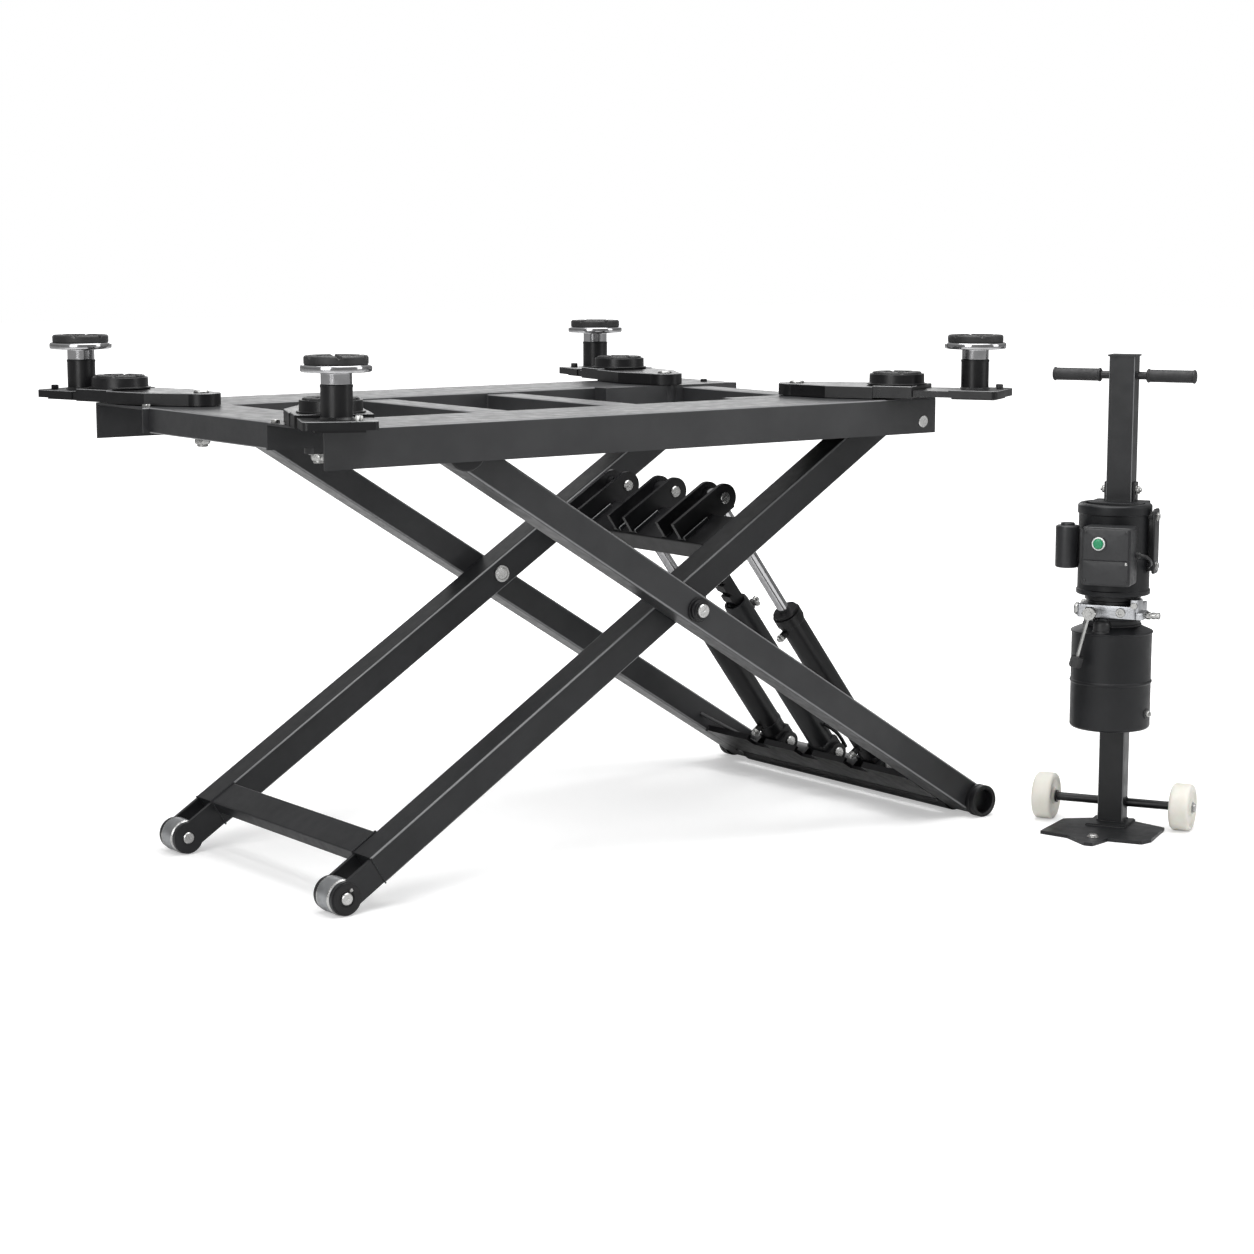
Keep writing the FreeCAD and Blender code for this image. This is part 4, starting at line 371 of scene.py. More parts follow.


# %% [markdown]
# Now each finish gets its numbers. The coats differ a little in tone, as parts coated in different
# batches do. The bare metals differ in grain: long turning marks on the rollers, a fine shine on chrome.

# %% The finishes of this lift
# Pale grey of the painted highlight on rounded corners, standing in for the light line they catch.
CORNER_HIGHLIGHT_PAINT = (0.20, 0.202, 0.206)
FRAME_TONES = (0.021, 0.0215, 0.023), (0.030, 0.0305, 0.032)
LEG_TONES = (0.009, 0.0095, 0.0105), (0.015, 0.0155, 0.017)
BLACK_TONES = (0.004, 0.004, 0.0045), (0.008, 0.008, 0.009)
FRAME_COAT = powder_coat("frame powder coat", *FRAME_TONES, 0.38, 0.44)
# Coats given corners carry a painted highlight on the corners rounded about that axis.
RAIL_COAT = powder_coat("rail powder coat", *FRAME_TONES, 0.38, 0.44, corners=(0, 0, 1))
OUTER_COAT = powder_coat("outer leg coat", *FRAME_TONES, 0.36, 0.40, corners=(0, 1, 0))
INNER_COAT = powder_coat("inner leg coat", *LEG_TONES, 0.36, 0.36, corners=(0, 1, 0))
POST_COAT = powder_coat("post powder coat", *LEG_TONES, 0.36, 0.34, corners=tuple(across))
LEG_COAT = powder_coat("leg powder coat", *LEG_TONES, 0.36, 0.36)
BLACK_COAT = powder_coat("black coat", *BLACK_TONES, 0.34, 0.36)
STRIP_COAT = powder_coat("lug strip coat", *LEG_TONES, 0.36, 0.36, corners=(0, 1, 0))
ARM_COAT = powder_coat("black arm coat", *BLACK_TONES, 0.32, 0.40, corners=(0, 0, 1))
MOTOR_COAT = powder_coat("motor paint", (0.008, 0.0085, 0.0095), (0.013, 0.0135, 0.015), 0.40, 0.30, 0.0001)
CHROME = bright_metal("hard chrome", (0.56, 0.56, 0.57), 0.12, 300, (1, 1, 6))
PIN_STEEL = bright_metal("ground pin steel", (0.62, 0.62, 0.61), 0.26, 500)
POLISHED = bright_metal("polished pin end", (0.86, 0.86, 0.85), 0.16, 500)
ZINC = bright_metal("zinc plate", (0.46, 0.46, 0.45), 0.30, 260)
ROLLER_STEEL = bright_metal("turned roller steel", (0.42, 0.43, 0.44), 0.42, 160, (1, 8, 1), 0.00004)
VALVE_METAL = bright_metal("machined block", (0.52, 0.53, 0.55), 0.32, 220, (1, 1, 7), 0.00003)
RUBBER = moulded("pad rubber", (0.010, 0.010, 0.010), (0.020, 0.020, 0.021), 0.55, 700, 0.00012)
GRIP_RUBBER = moulded("grip rubber", (0.012, 0.012, 0.013), (0.022, 0.022, 0.023), 0.6, 900, 0.00010)
NYLON = moulded("wheel nylon", (0.72, 0.70, 0.63), (0.80, 0.78, 0.72), 0.42, 500, 0.00005)
SWITCH_PLASTIC = moulded("switch box plastic", (0.014, 0.0145, 0.016), (0.020, 0.0205, 0.022), 0.40, 800,
                         0.00006)
BLACK_PLASTIC = moulded("black plastic", (0.010, 0.010, 0.011), (0.018, 0.018, 0.019), 0.40, 800, 0.00005)
BUTTON_GREEN = moulded("button green", (0.010, 0.230, 0.095), (0.014, 0.270, 0.115), 0.25, 300, 0.00001)
BEZEL_WHITE = moulded("bezel white", (0.74, 0.76, 0.75), (0.80, 0.82, 0.80), 0.35, 400, 0.00001)
NYLON.node_tree.nodes["Principled BSDF"].inputs["Subsurface Weight"].default_value = 0.15
NYLON.node_tree.nodes["Principled BSDF"].inputs["Subsurface Scale"].default_value = 0.004

# %% [markdown]
# The CAD nodes whose shape is already right only need their finish. The record says which slot
# each node has, and a short table turns that slot into one of the materials above.

# %% Finish of every CAD node
SLOT_FINISH = {
    "charcoal_steel": LEG_COAT, "black_steel": BLACK_COAT, "bright_steel": PIN_STEEL, "chrome": CHROME,
    "zinc": ZINC, "rubber": RUBBER, "roller_steel": ROLLER_STEEL, "nylon": NYLON, "motor_paint": MOTOR_COAT,
    "switch_plastic": SWITCH_PLASTIC, "button_green": BUTTON_GREEN, "valve_metal": VALVE_METAL,
    "black_plastic": BLACK_PLASTIC,
}
OWN_FINISH = {
    "rail_near": RAIL_COAT, "rail_far": RAIL_COAT, "frame_ties": RAIL_COAT,
    "outer_leg_near": OUTER_COAT, "outer_leg_far": OUTER_COAT,
    "inner_leg_near": INNER_COAT, "inner_leg_far": INNER_COAT, "inner_lower_tie": INNER_COAT,
    "upper_post": POST_COAT, "lower_post": POST_COAT,
    "inner_lock_beam": BLACK_COAT, "outer_base_beam": BLACK_COAT,
}
ARM_NODES = ("arm_base_", "arm_slide_")
SLOTS = {entry["node"]: entry["material_slot"] for entry in frame["record"]["subparts"]}
for name, node in frame["nodes"].items():
    node.data.materials.clear()
    usual = ARM_COAT if name.startswith(ARM_NODES) else SLOT_FINISH[SLOTS[name]]
    node.data.materials.append(OWN_FINISH.get(name, usual))
print("finishes laid on", len(frame["nodes"]), "nodes")

# %% [markdown]
# The lifting pads are moulded rubber. Their face is a height map in polar coordinates: a flat top,
# crossed by spoke grooves and one ring groove, with every groove wall sloped so that it would come
# out of a mould. The blocks between the grooves dip a little towards the middle, as worn pads do.

# %% Rubber pad faces
SPOKES = 3


def spoke_gaps(x, y):
    """Distances of points from the middle line of each spoke."""
    turns = [i * math.pi / SPOKES for i in range(SPOKES)]
    return [np.abs(x * math.sin(turn) - y * math.cos(turn)) for turn in turns]


def pad_face(radius, foot, top, groove_depth, groove_width, edge, ring_share=0.52, around=144, steps=40):
    """Rings of a pad: up the side wall, round the rim, then inwards over the grooved face.
    The height there is top - depth * s, where s rises smoothly from 0 to 1 near a groove's middle."""
    angle = np.linspace(0, 2 * np.pi, around, endpoint=False)
    wall = soften([(radius - edge / 2, foot), (radius, foot + edge), (radius, top - edge),
                   (radius - edge, top)], edge * 0.8)
    rings = [turned([point], around)[0] for point in wall]
    for ring in rings:
        nearest = np.min(spoke_gaps(ring[:, 0], ring[:, 1]), 0)
        notch = np.clip((groove_width - nearest) / (groove_width * 0.5), 0, 1)
        ring[:, 2] = np.minimum(ring[:, 2], top - groove_depth * notch * notch * (3 - 2 * notch))
    for share in np.linspace(1, 0.012, steps):
        reach = (radius - edge) * share
        x, y = reach * np.cos(angle), reach * np.sin(angle)
        gaps = spoke_gaps(x, y) + [np.full(around, abs(reach - radius * ring_share))]
        nearest = np.min(gaps, 0)
        cut = np.clip((groove_width - nearest) / (groove_width * 0.5), 0, 1)
        cut = cut * cut * (3 - 2 * cut)
        crown = 0.8 * (1 - share ** 2) * (1 - share)
        rings.append(np.column_stack([x, y, top - crown - groove_depth * cut]))
    return np.array(rings)


def arm_frame(name):
    """Matrix of an arm: x runs from its pivot along the arm, z is up from the rail's top."""
    along = Vector(JOINTS["extend_" + name]["axis"])
    pivot = Vector(JOINTS["swing_" + name]["pos_m"])
    return (Matrix.Translation(pivot) @ Matrix.Rotation(math.atan2(along.y, along.x), 4, "Z")
            @ Matrix.Scale(MM, 4))


def pad_reach(name):
    """Distance from an arm's pivot to the middle of its rubber pad."""
    low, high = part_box("pad_rubber_" + name)
    return (arm_frame(name).inverted() @ ((low + high) / 2)).x


ARMS = ("near_left", "far_left", "near_right", "far_right")
REACH = {name: pad_reach(name) for name in ARMS}
SOCKET_TOP, STEM, DISC, PAD = 91.0, 24.0, 14.0, 17.0
PAD_RADIUS, DISC_RADIUS = 62.0, 69.0
SCREW_GROOVES, LOW_GROOVES = (6.0, 5.0, 2.5), (7.0, 5.0, 2.0, 0.45)  # depth, width, rim, ring share
LOW_REACH, LOW_FOOT, CUP_RADIUS, CUP_HEIGHT, CUP_WALL, LOW_PROUD = 241.0, 31.0, 62.0, 25.0, 6.0, 4.0
for name in ARMS:
    place = moved(arm_frame(name), REACH[name], 0, 0)
    foot = SOCKET_TOP + STEM + DISC
    skin("screw_pad_rubber_" + name, pad_face(PAD_RADIUS, foot, foot + PAD, *SCREW_GROOVES), RUBBER,
         "pad_" + name, "pad_rubber_" + name, matrix=place)
    low = moved(arm_frame(name), LOW_REACH, 0, LOW_FOOT)
    skin("low_pad_rubber_" + name,
         pad_face(CUP_RADIUS - CUP_WALL - 0.4, 4.0, CUP_HEIGHT + LOW_PROUD, *LOW_GROOVES), RUBBER,
         "arm_" + name, matrix=low)
    rim = soften([(2, 0), (68, 0), (68, 3.2), (CUP_RADIUS + 0.4, 3.4), (CUP_RADIUS, CUP_HEIGHT),
                  (CUP_RADIUS - CUP_WALL, CUP_HEIGHT), (CUP_RADIUS - CUP_WALL, 5), (2, 3.5)],
                 [0, 0.8, 0.8, 1.2, 2.2, 2.2, 1, 0])
    skin("low_pad_rim_" + name, turned(rim, 96), BLACK_COAT, "arm_" + name, "low_pad_" + name,
         matrix=low)
print("pads:", 2 * len(ARMS), "screw pad reach in mm:", {k: round(v) for k, v in REACH.items()})

# %% [markdown]
# Each screw pad stands on a turned and chromed stem with a thick disc. Its rim is a full half
# round, which is what gives the photo's two thin bright lines, so the profile carries one there.

# %% Chromed stems and discs
RIM = 6.5
for name in ARMS:
    place = moved(arm_frame(name), REACH[name], 0, 0)
    top = SOCKET_TOP + STEM
    profile = soften([(0.5, SOCKET_TOP - 56), (24.5, SOCKET_TOP - 56), (25.9, SOCKET_TOP - 54),
                      (25.9, SOCKET_TOP + 0.3), (29.2, SOCKET_TOP + 0.3), (30, SOCKET_TOP + 1.2),
                      (30, top - 2), (32, top), (DISC_RADIUS - 1, top), (DISC_RADIUS, top + DISC / 2),
                      (DISC_RADIUS - 1, top + DISC), (0.5, top + DISC)],
                     [0, 1, 1, 0.5, 0.5, 0.5, 1.5, 1.5, RIM, RIM, RIM, 0], 7)
    skin("screw_stem_" + name, turned(profile, 96), CHROME, "pad_" + name, "pad_screw_" + name,
         matrix=place)
print("stems:", len(ARMS))

# %% [markdown]
# The two pairs of legs have their own sloping frames, with x along the leg and z across it, and both
# start at the centre pins. A pin that is drawn there lies right at once, with no angles to add up.

# %% Frames of the legs
LEG_ANGLE = math.radians(32)
LEG_LOWER, LEG_UPPER = 1003.0, 728.0
CENTRE = FLOOR_TUBE + LEG_LOWER * Vector((-math.cos(LEG_ANGLE), 0, math.sin(LEG_ANGLE)))
OUTER = LIFT @ Matrix.Translation(CENTRE) @ Matrix.Rotation(LEG_ANGLE, 4, "Y")
INNER = LIFT @ Matrix.Translation(CENTRE) @ Matrix.Rotation(-LEG_ANGLE, 4, "Y")
print("legs cross at", [round(v) for v in CENTRE], "mm")
OUTER_FACE, OUTER_BACK, INNER_FACE, INNER_BACK = 456.0, 383.0, 379.0, 306.0
SIDES = {"near": -1, "far": 1}


def outwards(base, x, y, z, side):
    """Matrix of a turned piece at a point of a frame, pointing out of the near or far side."""
    return base @ aimed((x, side * y, z), (0, side, 0))


def pin_bar(radius, start, stop, edge=1.4, drill=0.0):
    """Rings of a ground pin with a chamfer at both ends, and a small centre drilling if asked."""
    tip = [(drill, stop), (CORE, stop - drill)] if drill else [(CORE, stop)]
    return turned([(CORE, start), (radius - edge, start), (radius, start + edge), (radius, stop - edge),
                   (radius - edge, stop)] + tip, 64)


# %% [markdown]
# The pins carry the whole load, so they are ground bright and end a little proud of dark washers and
# collars. Each bright face is what the eye uses to find the joints, so every pin gets its chamfer.

# %% Leg pins, washers and collars
STRUT_GAP, LUG_HALF = 185.0, 35.0
NIPPLE_BACK, NIPPLE_UP = 17.5, 9.1
STRUTS_Y = (-STRUT_GAP, 0.0, STRUT_GAP)
CENTRE_PIN, SMALL_PIN = 15.0, 13.0
CLEVIS_X, CLEVIS_Z, BASE_PIN_X, BASE_PIN_Z = 334.0, 38.0, 908.0, 9.0
bright, dark, fork_rings, nipples = [], [], [], []
for side in SIDES.values():
    centre = outwards(INNER, 0, OUTER_FACE, 0, side)
    back = INNER_BACK - OUTER_FACE
    bright.append(solid(pin_bar(CENTRE_PIN, back - 5, 22, 1.8, 2.4), matrix=centre))
    bright.append(lathe([(15, back - 5), (20, back - 5), (20, back - 0.2), (15, back - 0.2)], 1, loop=True,
                        matrix=centre))
    dark.append(lathe([(15.2, 0.4), (28, 0.4), (28, 4.3), (15.2, 4.3)], 1.2, loop=True, matrix=centre))
    dark.append(lathe([(15.2, 4.3), (23, 4.3), (23, 9), (20, 10), (20, 16.3), (15.2, 16.3)], 1.4,
                      loop=True, matrix=centre))
    axle = outwards(INNER, -LEG_LOWER, INNER_FACE, 0, side)
    bright.append(solid(pin_bar(SMALL_PIN, INNER_BACK - INNER_FACE - 2, 5, 1.6, 1.8), matrix=axle))
    fork_rings.append(lathe([(16.5, -1), (33, -1), (33, 1.6), (30, 2.2), (18, 2.2), (16.5, 0.5)], 1.1,
                            loop=True, matrix=axle))
    nipple = [(CORE, 0), (3.8, 0), (3.8, 2.4), (2.2, 3.2), (1.7, 4.4), (2.5, 5.6), (1.6, 7), (CORE, 7.2)]
    nipples.append(lathe(nipple, around=24,
                         matrix=outwards(INNER, -LEG_LOWER + NIPPLE_BACK, INNER_FACE, NIPPLE_UP, side)))
    for middle in STRUTS_Y:
        lug = INNER @ aimed((CLEVIS_X, middle + side * LUG_HALF, CLEVIS_Z), (0, side, 0))
        bright.append(solid(pin_bar(SMALL_PIN, -10, 4, 1.5, 1.6), matrix=lug))
piece_of("leg_pins", bright, PIN_STEEL, "inner_legs", "inner_leg_pins")
piece_of("centre_pin_collars", dark, BLACK_COAT, "inner_legs")
piece_of("fork_bosses", fork_rings, BLACK_COAT, "inner_legs")
piece_of("grease_nipples", nipples, ZINC, "inner_legs")
base_bars = [solid(pin_bar(SMALL_PIN, -47, 47, 1.5, 1.6),
                   matrix=OUTER @ aimed((BASE_PIN_X, y, BASE_PIN_Z), (0, 1, 0))) for y in STRUTS_Y]
piece_of("strut_base_pins", base_bars, PIN_STEEL, "outer_legs", "strut_pins_lower")
print("leg pins:", len(bright) + len(base_bars))

# %% [markdown]
# The floor rollers are turned steel: a plain tread between two chamfers that were left polished,
# and a face cut back round the hub. The slide rollers at the top run inside the rails.

# %% Rollers and floor tube
ROLLER_Y = (INNER_FACE + INNER_BACK) / 2
treads, rims, tops = [], [], []
for side in SIDES.values():
    place = outwards(INNER, -LEG_LOWER, ROLLER_Y, 0, side)
    section = [(13.2, -25), (20, -25), (21, -21.5), (30, -21.5), (31, -25), (35.2, -25), (37.6, -21.8),
               (37.6, 21.8), (35.2, 25), (31, 25), (30, 21.5), (21, 21.5), (20, 25), (13.2, 25)]
    treads.append(lathe(section, around=96, loop=True, matrix=place))
    for end in (-1, 1):
        band = [(34.2, end * 24.2), (34.9, end * 25), (37.9, end * 22.6), (38, end * 19.6),
                (37.2, end * 19.6)]
        rims.append(lathe(band[::-end], around=96, loop=True, matrix=place))
    top = OUTER @ aimed((-LEG_UPPER, side * (OUTER_FACE + 0.3), 0), (0, side, 0))
    tops.append(lathe([(12.2, 0.2), (45, 0.2), (47.7, 2), (47.7, 31), (45, 32.5), (12.2, 32.5)], 1,
                      around=96, loop=True, matrix=top))
piece_of("floor_roller_treads", treads, ROLLER_STEEL, "floor_rollers", "floor_rollers")
piece_of("floor_roller_rims", rims, PIN_STEEL, "floor_rollers")
piece_of("slide_roller_pair", tops, BLACK_COAT, "slide_rollers", "slide_rollers")

TUBE_END, TUBE_NECK = 483.3, 382.7
half_tube = [(1, TUBE_END - 22), (27, TUBE_END - 22), (28, TUBE_END - 20), (28, TUBE_END - 2),
             (29.5, TUBE_END), (36.5, TUBE_END), (38, TUBE_END - 1.6), (38, TUBE_END - 12),
             (36.6, TUBE_END - 13), (36.6, TUBE_END - 16), (38, TUBE_END - 17), (38, OUTER_FACE + 1.6),
             (36.6, OUTER_FACE + 0.3), (24, OUTER_FACE + 0.3), (24, TUBE_NECK), (38, TUBE_NECK)]
whole_tube = [(radius, -z) for radius, z in half_tube] + half_tube[::-1]
skin("floor_tube_turned", turned(whole_tube, 96), BLACK_COAT, "floor", "floor_tube",
     matrix=LIFT @ aimed(FLOOR_TUBE, (0, 1, 0)))
print("rollers:", len(treads) + len(tops))

# %% [markdown]
# On the top frame the fasteners are bought parts: low round heads on the arm pivots with big nuts
# under them, hex stop bolts, and the polished ends of the leg pins showing through the rails.

# %% Top frame fasteners
RAIL_TOP = (arm_frame("near_left").translation.z - LIFT.translation.z) / MM
INNER_TOP = CENTRE + LEG_UPPER * Vector((math.cos(LEG_ANGLE), 0, math.sin(LEG_ANGLE)))
RAIL_LENGTH, RAIL_PAST_PIN = 1610.0, 38.0
RAIL_RIGHT = INNER_TOP.x + RAIL_PAST_PIN
RAIL_LEFT = RAIL_RIGHT - RAIL_LENGTH
RAIL_EDGE, RAIL_FACE = 269.0, 498.0
STOP_LEFT, STOP_RIGHT = (15.0, 13.0), (43.0, 31.0)  # in from the rail's end, and out from its edge
NUT_DROP = 69.0
TIP_AHEAD, TIP_ASIDE, TIP_UP = 47.0, 36.5, 25.0
bolts, caps, pin_ends = [], [], []
for name in ARMS:
    place = arm_frame(name)
    bolts.append(lathe([(CORE, 29), (17, 29), (17, 31.6), (14, 34.1), (5, 34.3), (4.2, 32.4),
                        (CORE, 32.4)], 0.9, matrix=place))
    bolts.append(lathe([(CORE, -89), (10.5, -89), (12, -87.5), (12, 29), (CORE, 29)], around=48,
                       matrix=place))
    bolts += bolted(moved(place, 0, 0, -NUT_DROP) @ Matrix.Rotation(math.pi, 4, "X"), 18, 11.5, 21)
for side in SIDES.values():
    bolts += bolted(moved(LIFT, RAIL_LEFT + STOP_LEFT[0], side * (RAIL_EDGE + STOP_LEFT[1]), RAIL_TOP),
                    10, 6.6)
    right = moved(LIFT, RAIL_RIGHT - STOP_RIGHT[0], side * (RAIL_EDGE + STOP_RIGHT[1]), RAIL_TOP)
    caps.append(lathe([(CORE, 0), (8.4, 0), (8.4, 5), (6, 6.8), (3, 6.8), (2.6, 5.4), (CORE, 5.4)], 1.2,
                      around=48, matrix=right))
    bar = [(CORE, 292), (15, 292), (15, 492.7), (12.4, 492.7), (12.4, RAIL_FACE + 0.4),
           (13.6, RAIL_FACE + 0.5), (13.6, RAIL_FACE + 1.2), (12.6, RAIL_FACE + 2), (CORE, RAIL_FACE + 2)]
    pin_ends.append(lathe(bar, matrix=outwards(LIFT, INNER_TOP.x, 0, INNER_TOP.z, side)))
piece_of("arm_pivot_bolts", bolts, ZINC, "top_frame", "top_frame_pins")
piece_of("arm_stop_buttons", caps, BLACK_COAT, "top_frame")
piece_of("rail_leg_pins", pin_ends, POLISHED, "top_frame")
for name in ARMS:
    tip = moved(arm_frame(name), REACH[name] + TIP_AHEAD, TIP_ASIDE, TIP_UP)
    finish = ZINC if name == "near_left" else BLACK_COAT
    piece_of("arm_tip_bolt_" + name, bolted(tip, 8.6, 9.6), finish, "slide_" + name)
    collar = moved(arm_frame(name), REACH[name], 0, 0)
    foot = [(30.5, 24.8), (35.5, 24.8), (33.5, 27.2), (31.4, 29.5), (30.5, 29.5)]
    lip = [(26.1, SOCKET_TOP - 5), (31.8, SOCKET_TOP - 5), (31.8, SOCKET_TOP - 0.8),
           (31, SOCKET_TOP + 0.1), (26.1, SOCKET_TOP + 0.1)]
    rings = [lathe(foot, loop=True, matrix=collar), lathe(lip, loop=True, matrix=collar)]
    piece_of("arm_socket_rings_" + name, rings, BLACK_COAT, "slide_" + name)
print("fasteners on the top frame:", len(bolts) + len(caps))

# %% [markdown]
# The power unit is a stack of turned castings. The motor has a lipped end bell, the tank has
# a rolled bead and a sloping shoulder, and the wheels are moulded nylon with a raised hub.

# %% Motor, adaptor and tank
UNIT_Y = -52.0
MOTOR_BOTTOM, MOTOR_TOP, MOTOR_RADIUS, BELL_RADIUS = 557.0, 767.0, 82.0, 84.5
unit_place = moved(TRUCK, 0, UNIT_Y, 0)
bell = MOTOR_TOP - 24
motor_profile = soften([(1, MOTOR_BOTTOM), (BELL_RADIUS - 3, MOTOR_BOTTOM),
                        (BELL_RADIUS, MOTOR_BOTTOM + 2), (BELL_RADIUS, MOTOR_BOTTOM + 12),
                        (MOTOR_RADIUS, MOTOR_BOTTOM + 13), (MOTOR_RADIUS, 640), (MOTOR_RADIUS - 0.8, 641),
                        (MOTOR_RADIUS - 0.8, 643), (MOTOR_RADIUS, 644), (MOTOR_RADIUS, bell),
                        (BELL_RADIUS, bell + 1), (BELL_RADIUS, MOTOR_TOP - 4),
                        (BELL_RADIUS - 5, MOTOR_TOP), (BELL_RADIUS - 16, MOTOR_TOP),
                        (BELL_RADIUS - 18, MOTOR_TOP - 8), (1, MOTOR_TOP - 8)],
                       [0, 1, 1, 1, 1, 0.3, 0.3, 0.3, 0.3, 1, 1, 3, 3, 1, 1, 0])
skin("motor_casing", turned(motor_profile, 128), MOTOR_COAT, "floor", "motor_housing",
     matrix=unit_place)
skin("post_seat", slab((126, 92, 8), 6, 1.2), MOTOR_COAT, "floor",
     matrix=moved(TRUCK, 0, -14, MOTOR_TOP - 8))

ADAPTOR_TOP, BLOCK_LOW, BLOCK_TOP = 557.0, 506.0, 536.0
skin("adaptor_ring", turned(soften([(1, BLOCK_TOP), (60, BLOCK_TOP), (60, 543), (64, 545),
                                    (64, ADAPTOR_TOP), (1, ADAPTOR_TOP)], [0, 1, 1, 1.5, 1, 0]), 96),
     BLACK_COAT, "floor", "pump_adaptor", matrix=unit_place)

TANK_BOTTOM, TANK_TOP, TANK_RADIUS, NECK_RADIUS, NECK_FOOT = 245.0, 472.0, 92.0, 65.0, 485.0
ROLLED = 355.0
tank_profile = soften([(1, TANK_BOTTOM), (TANK_RADIUS - 5, TANK_BOTTOM), (TANK_RADIUS, TANK_BOTTOM + 5),
                       (TANK_RADIUS, ROLLED - 4), (TANK_RADIUS + 2.3, ROLLED - 2),
                       (TANK_RADIUS + 2.3, ROLLED + 2), (TANK_RADIUS, ROLLED + 4),
                       (TANK_RADIUS, TANK_TOP - 4), (TANK_RADIUS + 2.4, TANK_TOP - 3),
                       (TANK_RADIUS + 2.4, TANK_TOP), (TANK_RADIUS - 4, TANK_TOP + 3),
                       (NECK_RADIUS, NECK_FOOT), (1, NECK_FOOT)],
                      [0, 5, 4, 1, 1.6, 1.6, 1, 1, 1, 2, 3, 2, 0])
skin("tank_shell", turned(tank_profile, 128), MOTOR_COAT, "floor", "oil_tank",
     matrix=unit_place)
print("tank and motor, in mm:", TANK_TOP - TANK_BOTTOM, MOTOR_TOP - MOTOR_BOTTOM)

# %% [markdown]
# The switch box is a moulded case with a lid in two halves, so a fine seam crosses its front. Rounded
# slabs give both. The button is a green dome in a white ring, on a body of its own to be pressed.

# %% Switch box and button
BOX_LEFT, BOX_WIDTH, BOX_FRONT, BOX_BOTTOM, BOX_HEIGHT = -40.0, 112.0, 190.0, 591.0, 133.0
FACE = Matrix.Rotation(QUARTER, 4, "X")  # a piece made along +Z then faces the front
LID = 4.0
BUTTON = (0.0, 687.0)
box_middle = (BOX_LEFT + BOX_WIDTH / 2, BOX_BOTTOM + BOX_HEIGHT / 2)
BOX_DEEP = 64.0


def front(x, z, y=-BOX_FRONT):
    """Matrix of a piece that stands out of the switch box's front, at x and z."""
    return moved(TRUCK, x, y, z) @ FACE


skin("switch_case", slab((BOX_WIDTH, BOX_HEIGHT, BOX_DEEP), 7, 3), SWITCH_PLASTIC, "floor", "control_box",
     matrix=front(*box_middle, -BOX_FRONT + BOX_DEEP))
SEAM_SHARE, SEAM = 0.57, 1.6
LID_TALL = BOX_HEIGHT - 8 - SEAM
LID_FOOT = BOX_BOTTOM + 4
LID_SPLIT = LID_FOOT + LID_TALL * (1 - SEAM_SHARE)
lids = []
for share, foot in ((1 - SEAM_SHARE, LID_FOOT), (SEAM_SHARE, LID_SPLIT + SEAM)):
    tall = LID_TALL * share
    lids.append(solid(slab((BOX_WIDTH - 8, tall, LID), 3.5, 1.4),
                      matrix=front(box_middle[0], foot + tall / 2)))
collar = turned(soften([(CORE, 0), (18, 0), (18, 1.6), (17, 2.2), (CORE, 2.2)], 0.6), 64)
lids.append(solid(collar, matrix=front(*BUTTON, -BOX_FRONT - LID)))
piece_of("switch_lids", lids, SWITCH_PLASTIC, "floor")
skin("button_bezel",
     turned(soften([(11.6, 0), (15, 0), (15, 3.2), (14, 4.2), (12.6, 4.2), (11.6, 3)], 0.8), 64),
     BEZEL_WHITE, "floor", loop=True, matrix=front(*BUTTON, -BOX_FRONT - LID - 2))
cap_face = -BOX_FRONT - LID - 5
skin("green_button",
     turned(soften([(CORE, -10), (11, -10), (11, 5.6), (8.5, 6.8), (CORE, 7)], [0, 0.5, 2.5, 3, 0]), 64),
     BUTTON_GREEN, "start_button", "start_button", matrix=front(*BUTTON, cap_face))
head = turned(soften([(CORE, 0), (3.4, 0), (3.4, 1.2), (2.4, 2), (CORE, 2)], 0.6), 24)
SCREW_SET = 9.0
screw_x = (BOX_LEFT + SCREW_SET, BOX_LEFT + BOX_WIDTH - SCREW_SET)
screw_z = (BOX_BOTTOM + SCREW_SET + 2, BOX_BOTTOM + BOX_HEIGHT - SCREW_SET - 2)
heads = [solid(head, matrix=front(x, z, -BOX_FRONT - LID)) for x in screw_x for z in screw_z]
piece_of("lid_screws", heads, BLACK_PLASTIC, "floor")
bright_head = solid(head, matrix=front(screw_x[1], LID_SPLIT - 5, -BOX_FRONT - LID))
piece_of("lid_seam_screw", [bright_head], ZINC, "floor")
print("lid screws:", len(heads) + 1)

# %% [markdown]
# Small parts sell the scale of the power unit. The capacitor cover is a turned can, and the bracket
# is a plate with rounded rims on two feet. The lead runs from a gland on the switch box's side to
# the lower foot.

# %% Capacitor cover, side bracket and lead
CAP_X, CAP_Y, CAP_FOOT, CAP_TOP = -90.0, -128.0, 622.0, 719.0
cover = [(1, CAP_FOOT), (24, CAP_FOOT), (27, CAP_FOOT + 3), (27, CAP_TOP - 2.5), (24.5, CAP_TOP),
         (17.2, CAP_TOP), (16, CAP_TOP + 1), (16, CAP_TOP + 5), (14.5, CAP_TOP + 6), (1, CAP_TOP + 6)]
on_cover = moved(TRUCK, CAP_X, CAP_Y, 0)
arm_block = moved(TRUCK, -68, -112, CAP_FOOT + 8)
piece_of("capacitor_shell", [lathe(cover, 1.6, matrix=on_cover),
                             solid(slab((46, 24, 81), 4, 1), matrix=arm_block)], SWITCH_PLASTIC, "floor",
         "capacitor_cover")

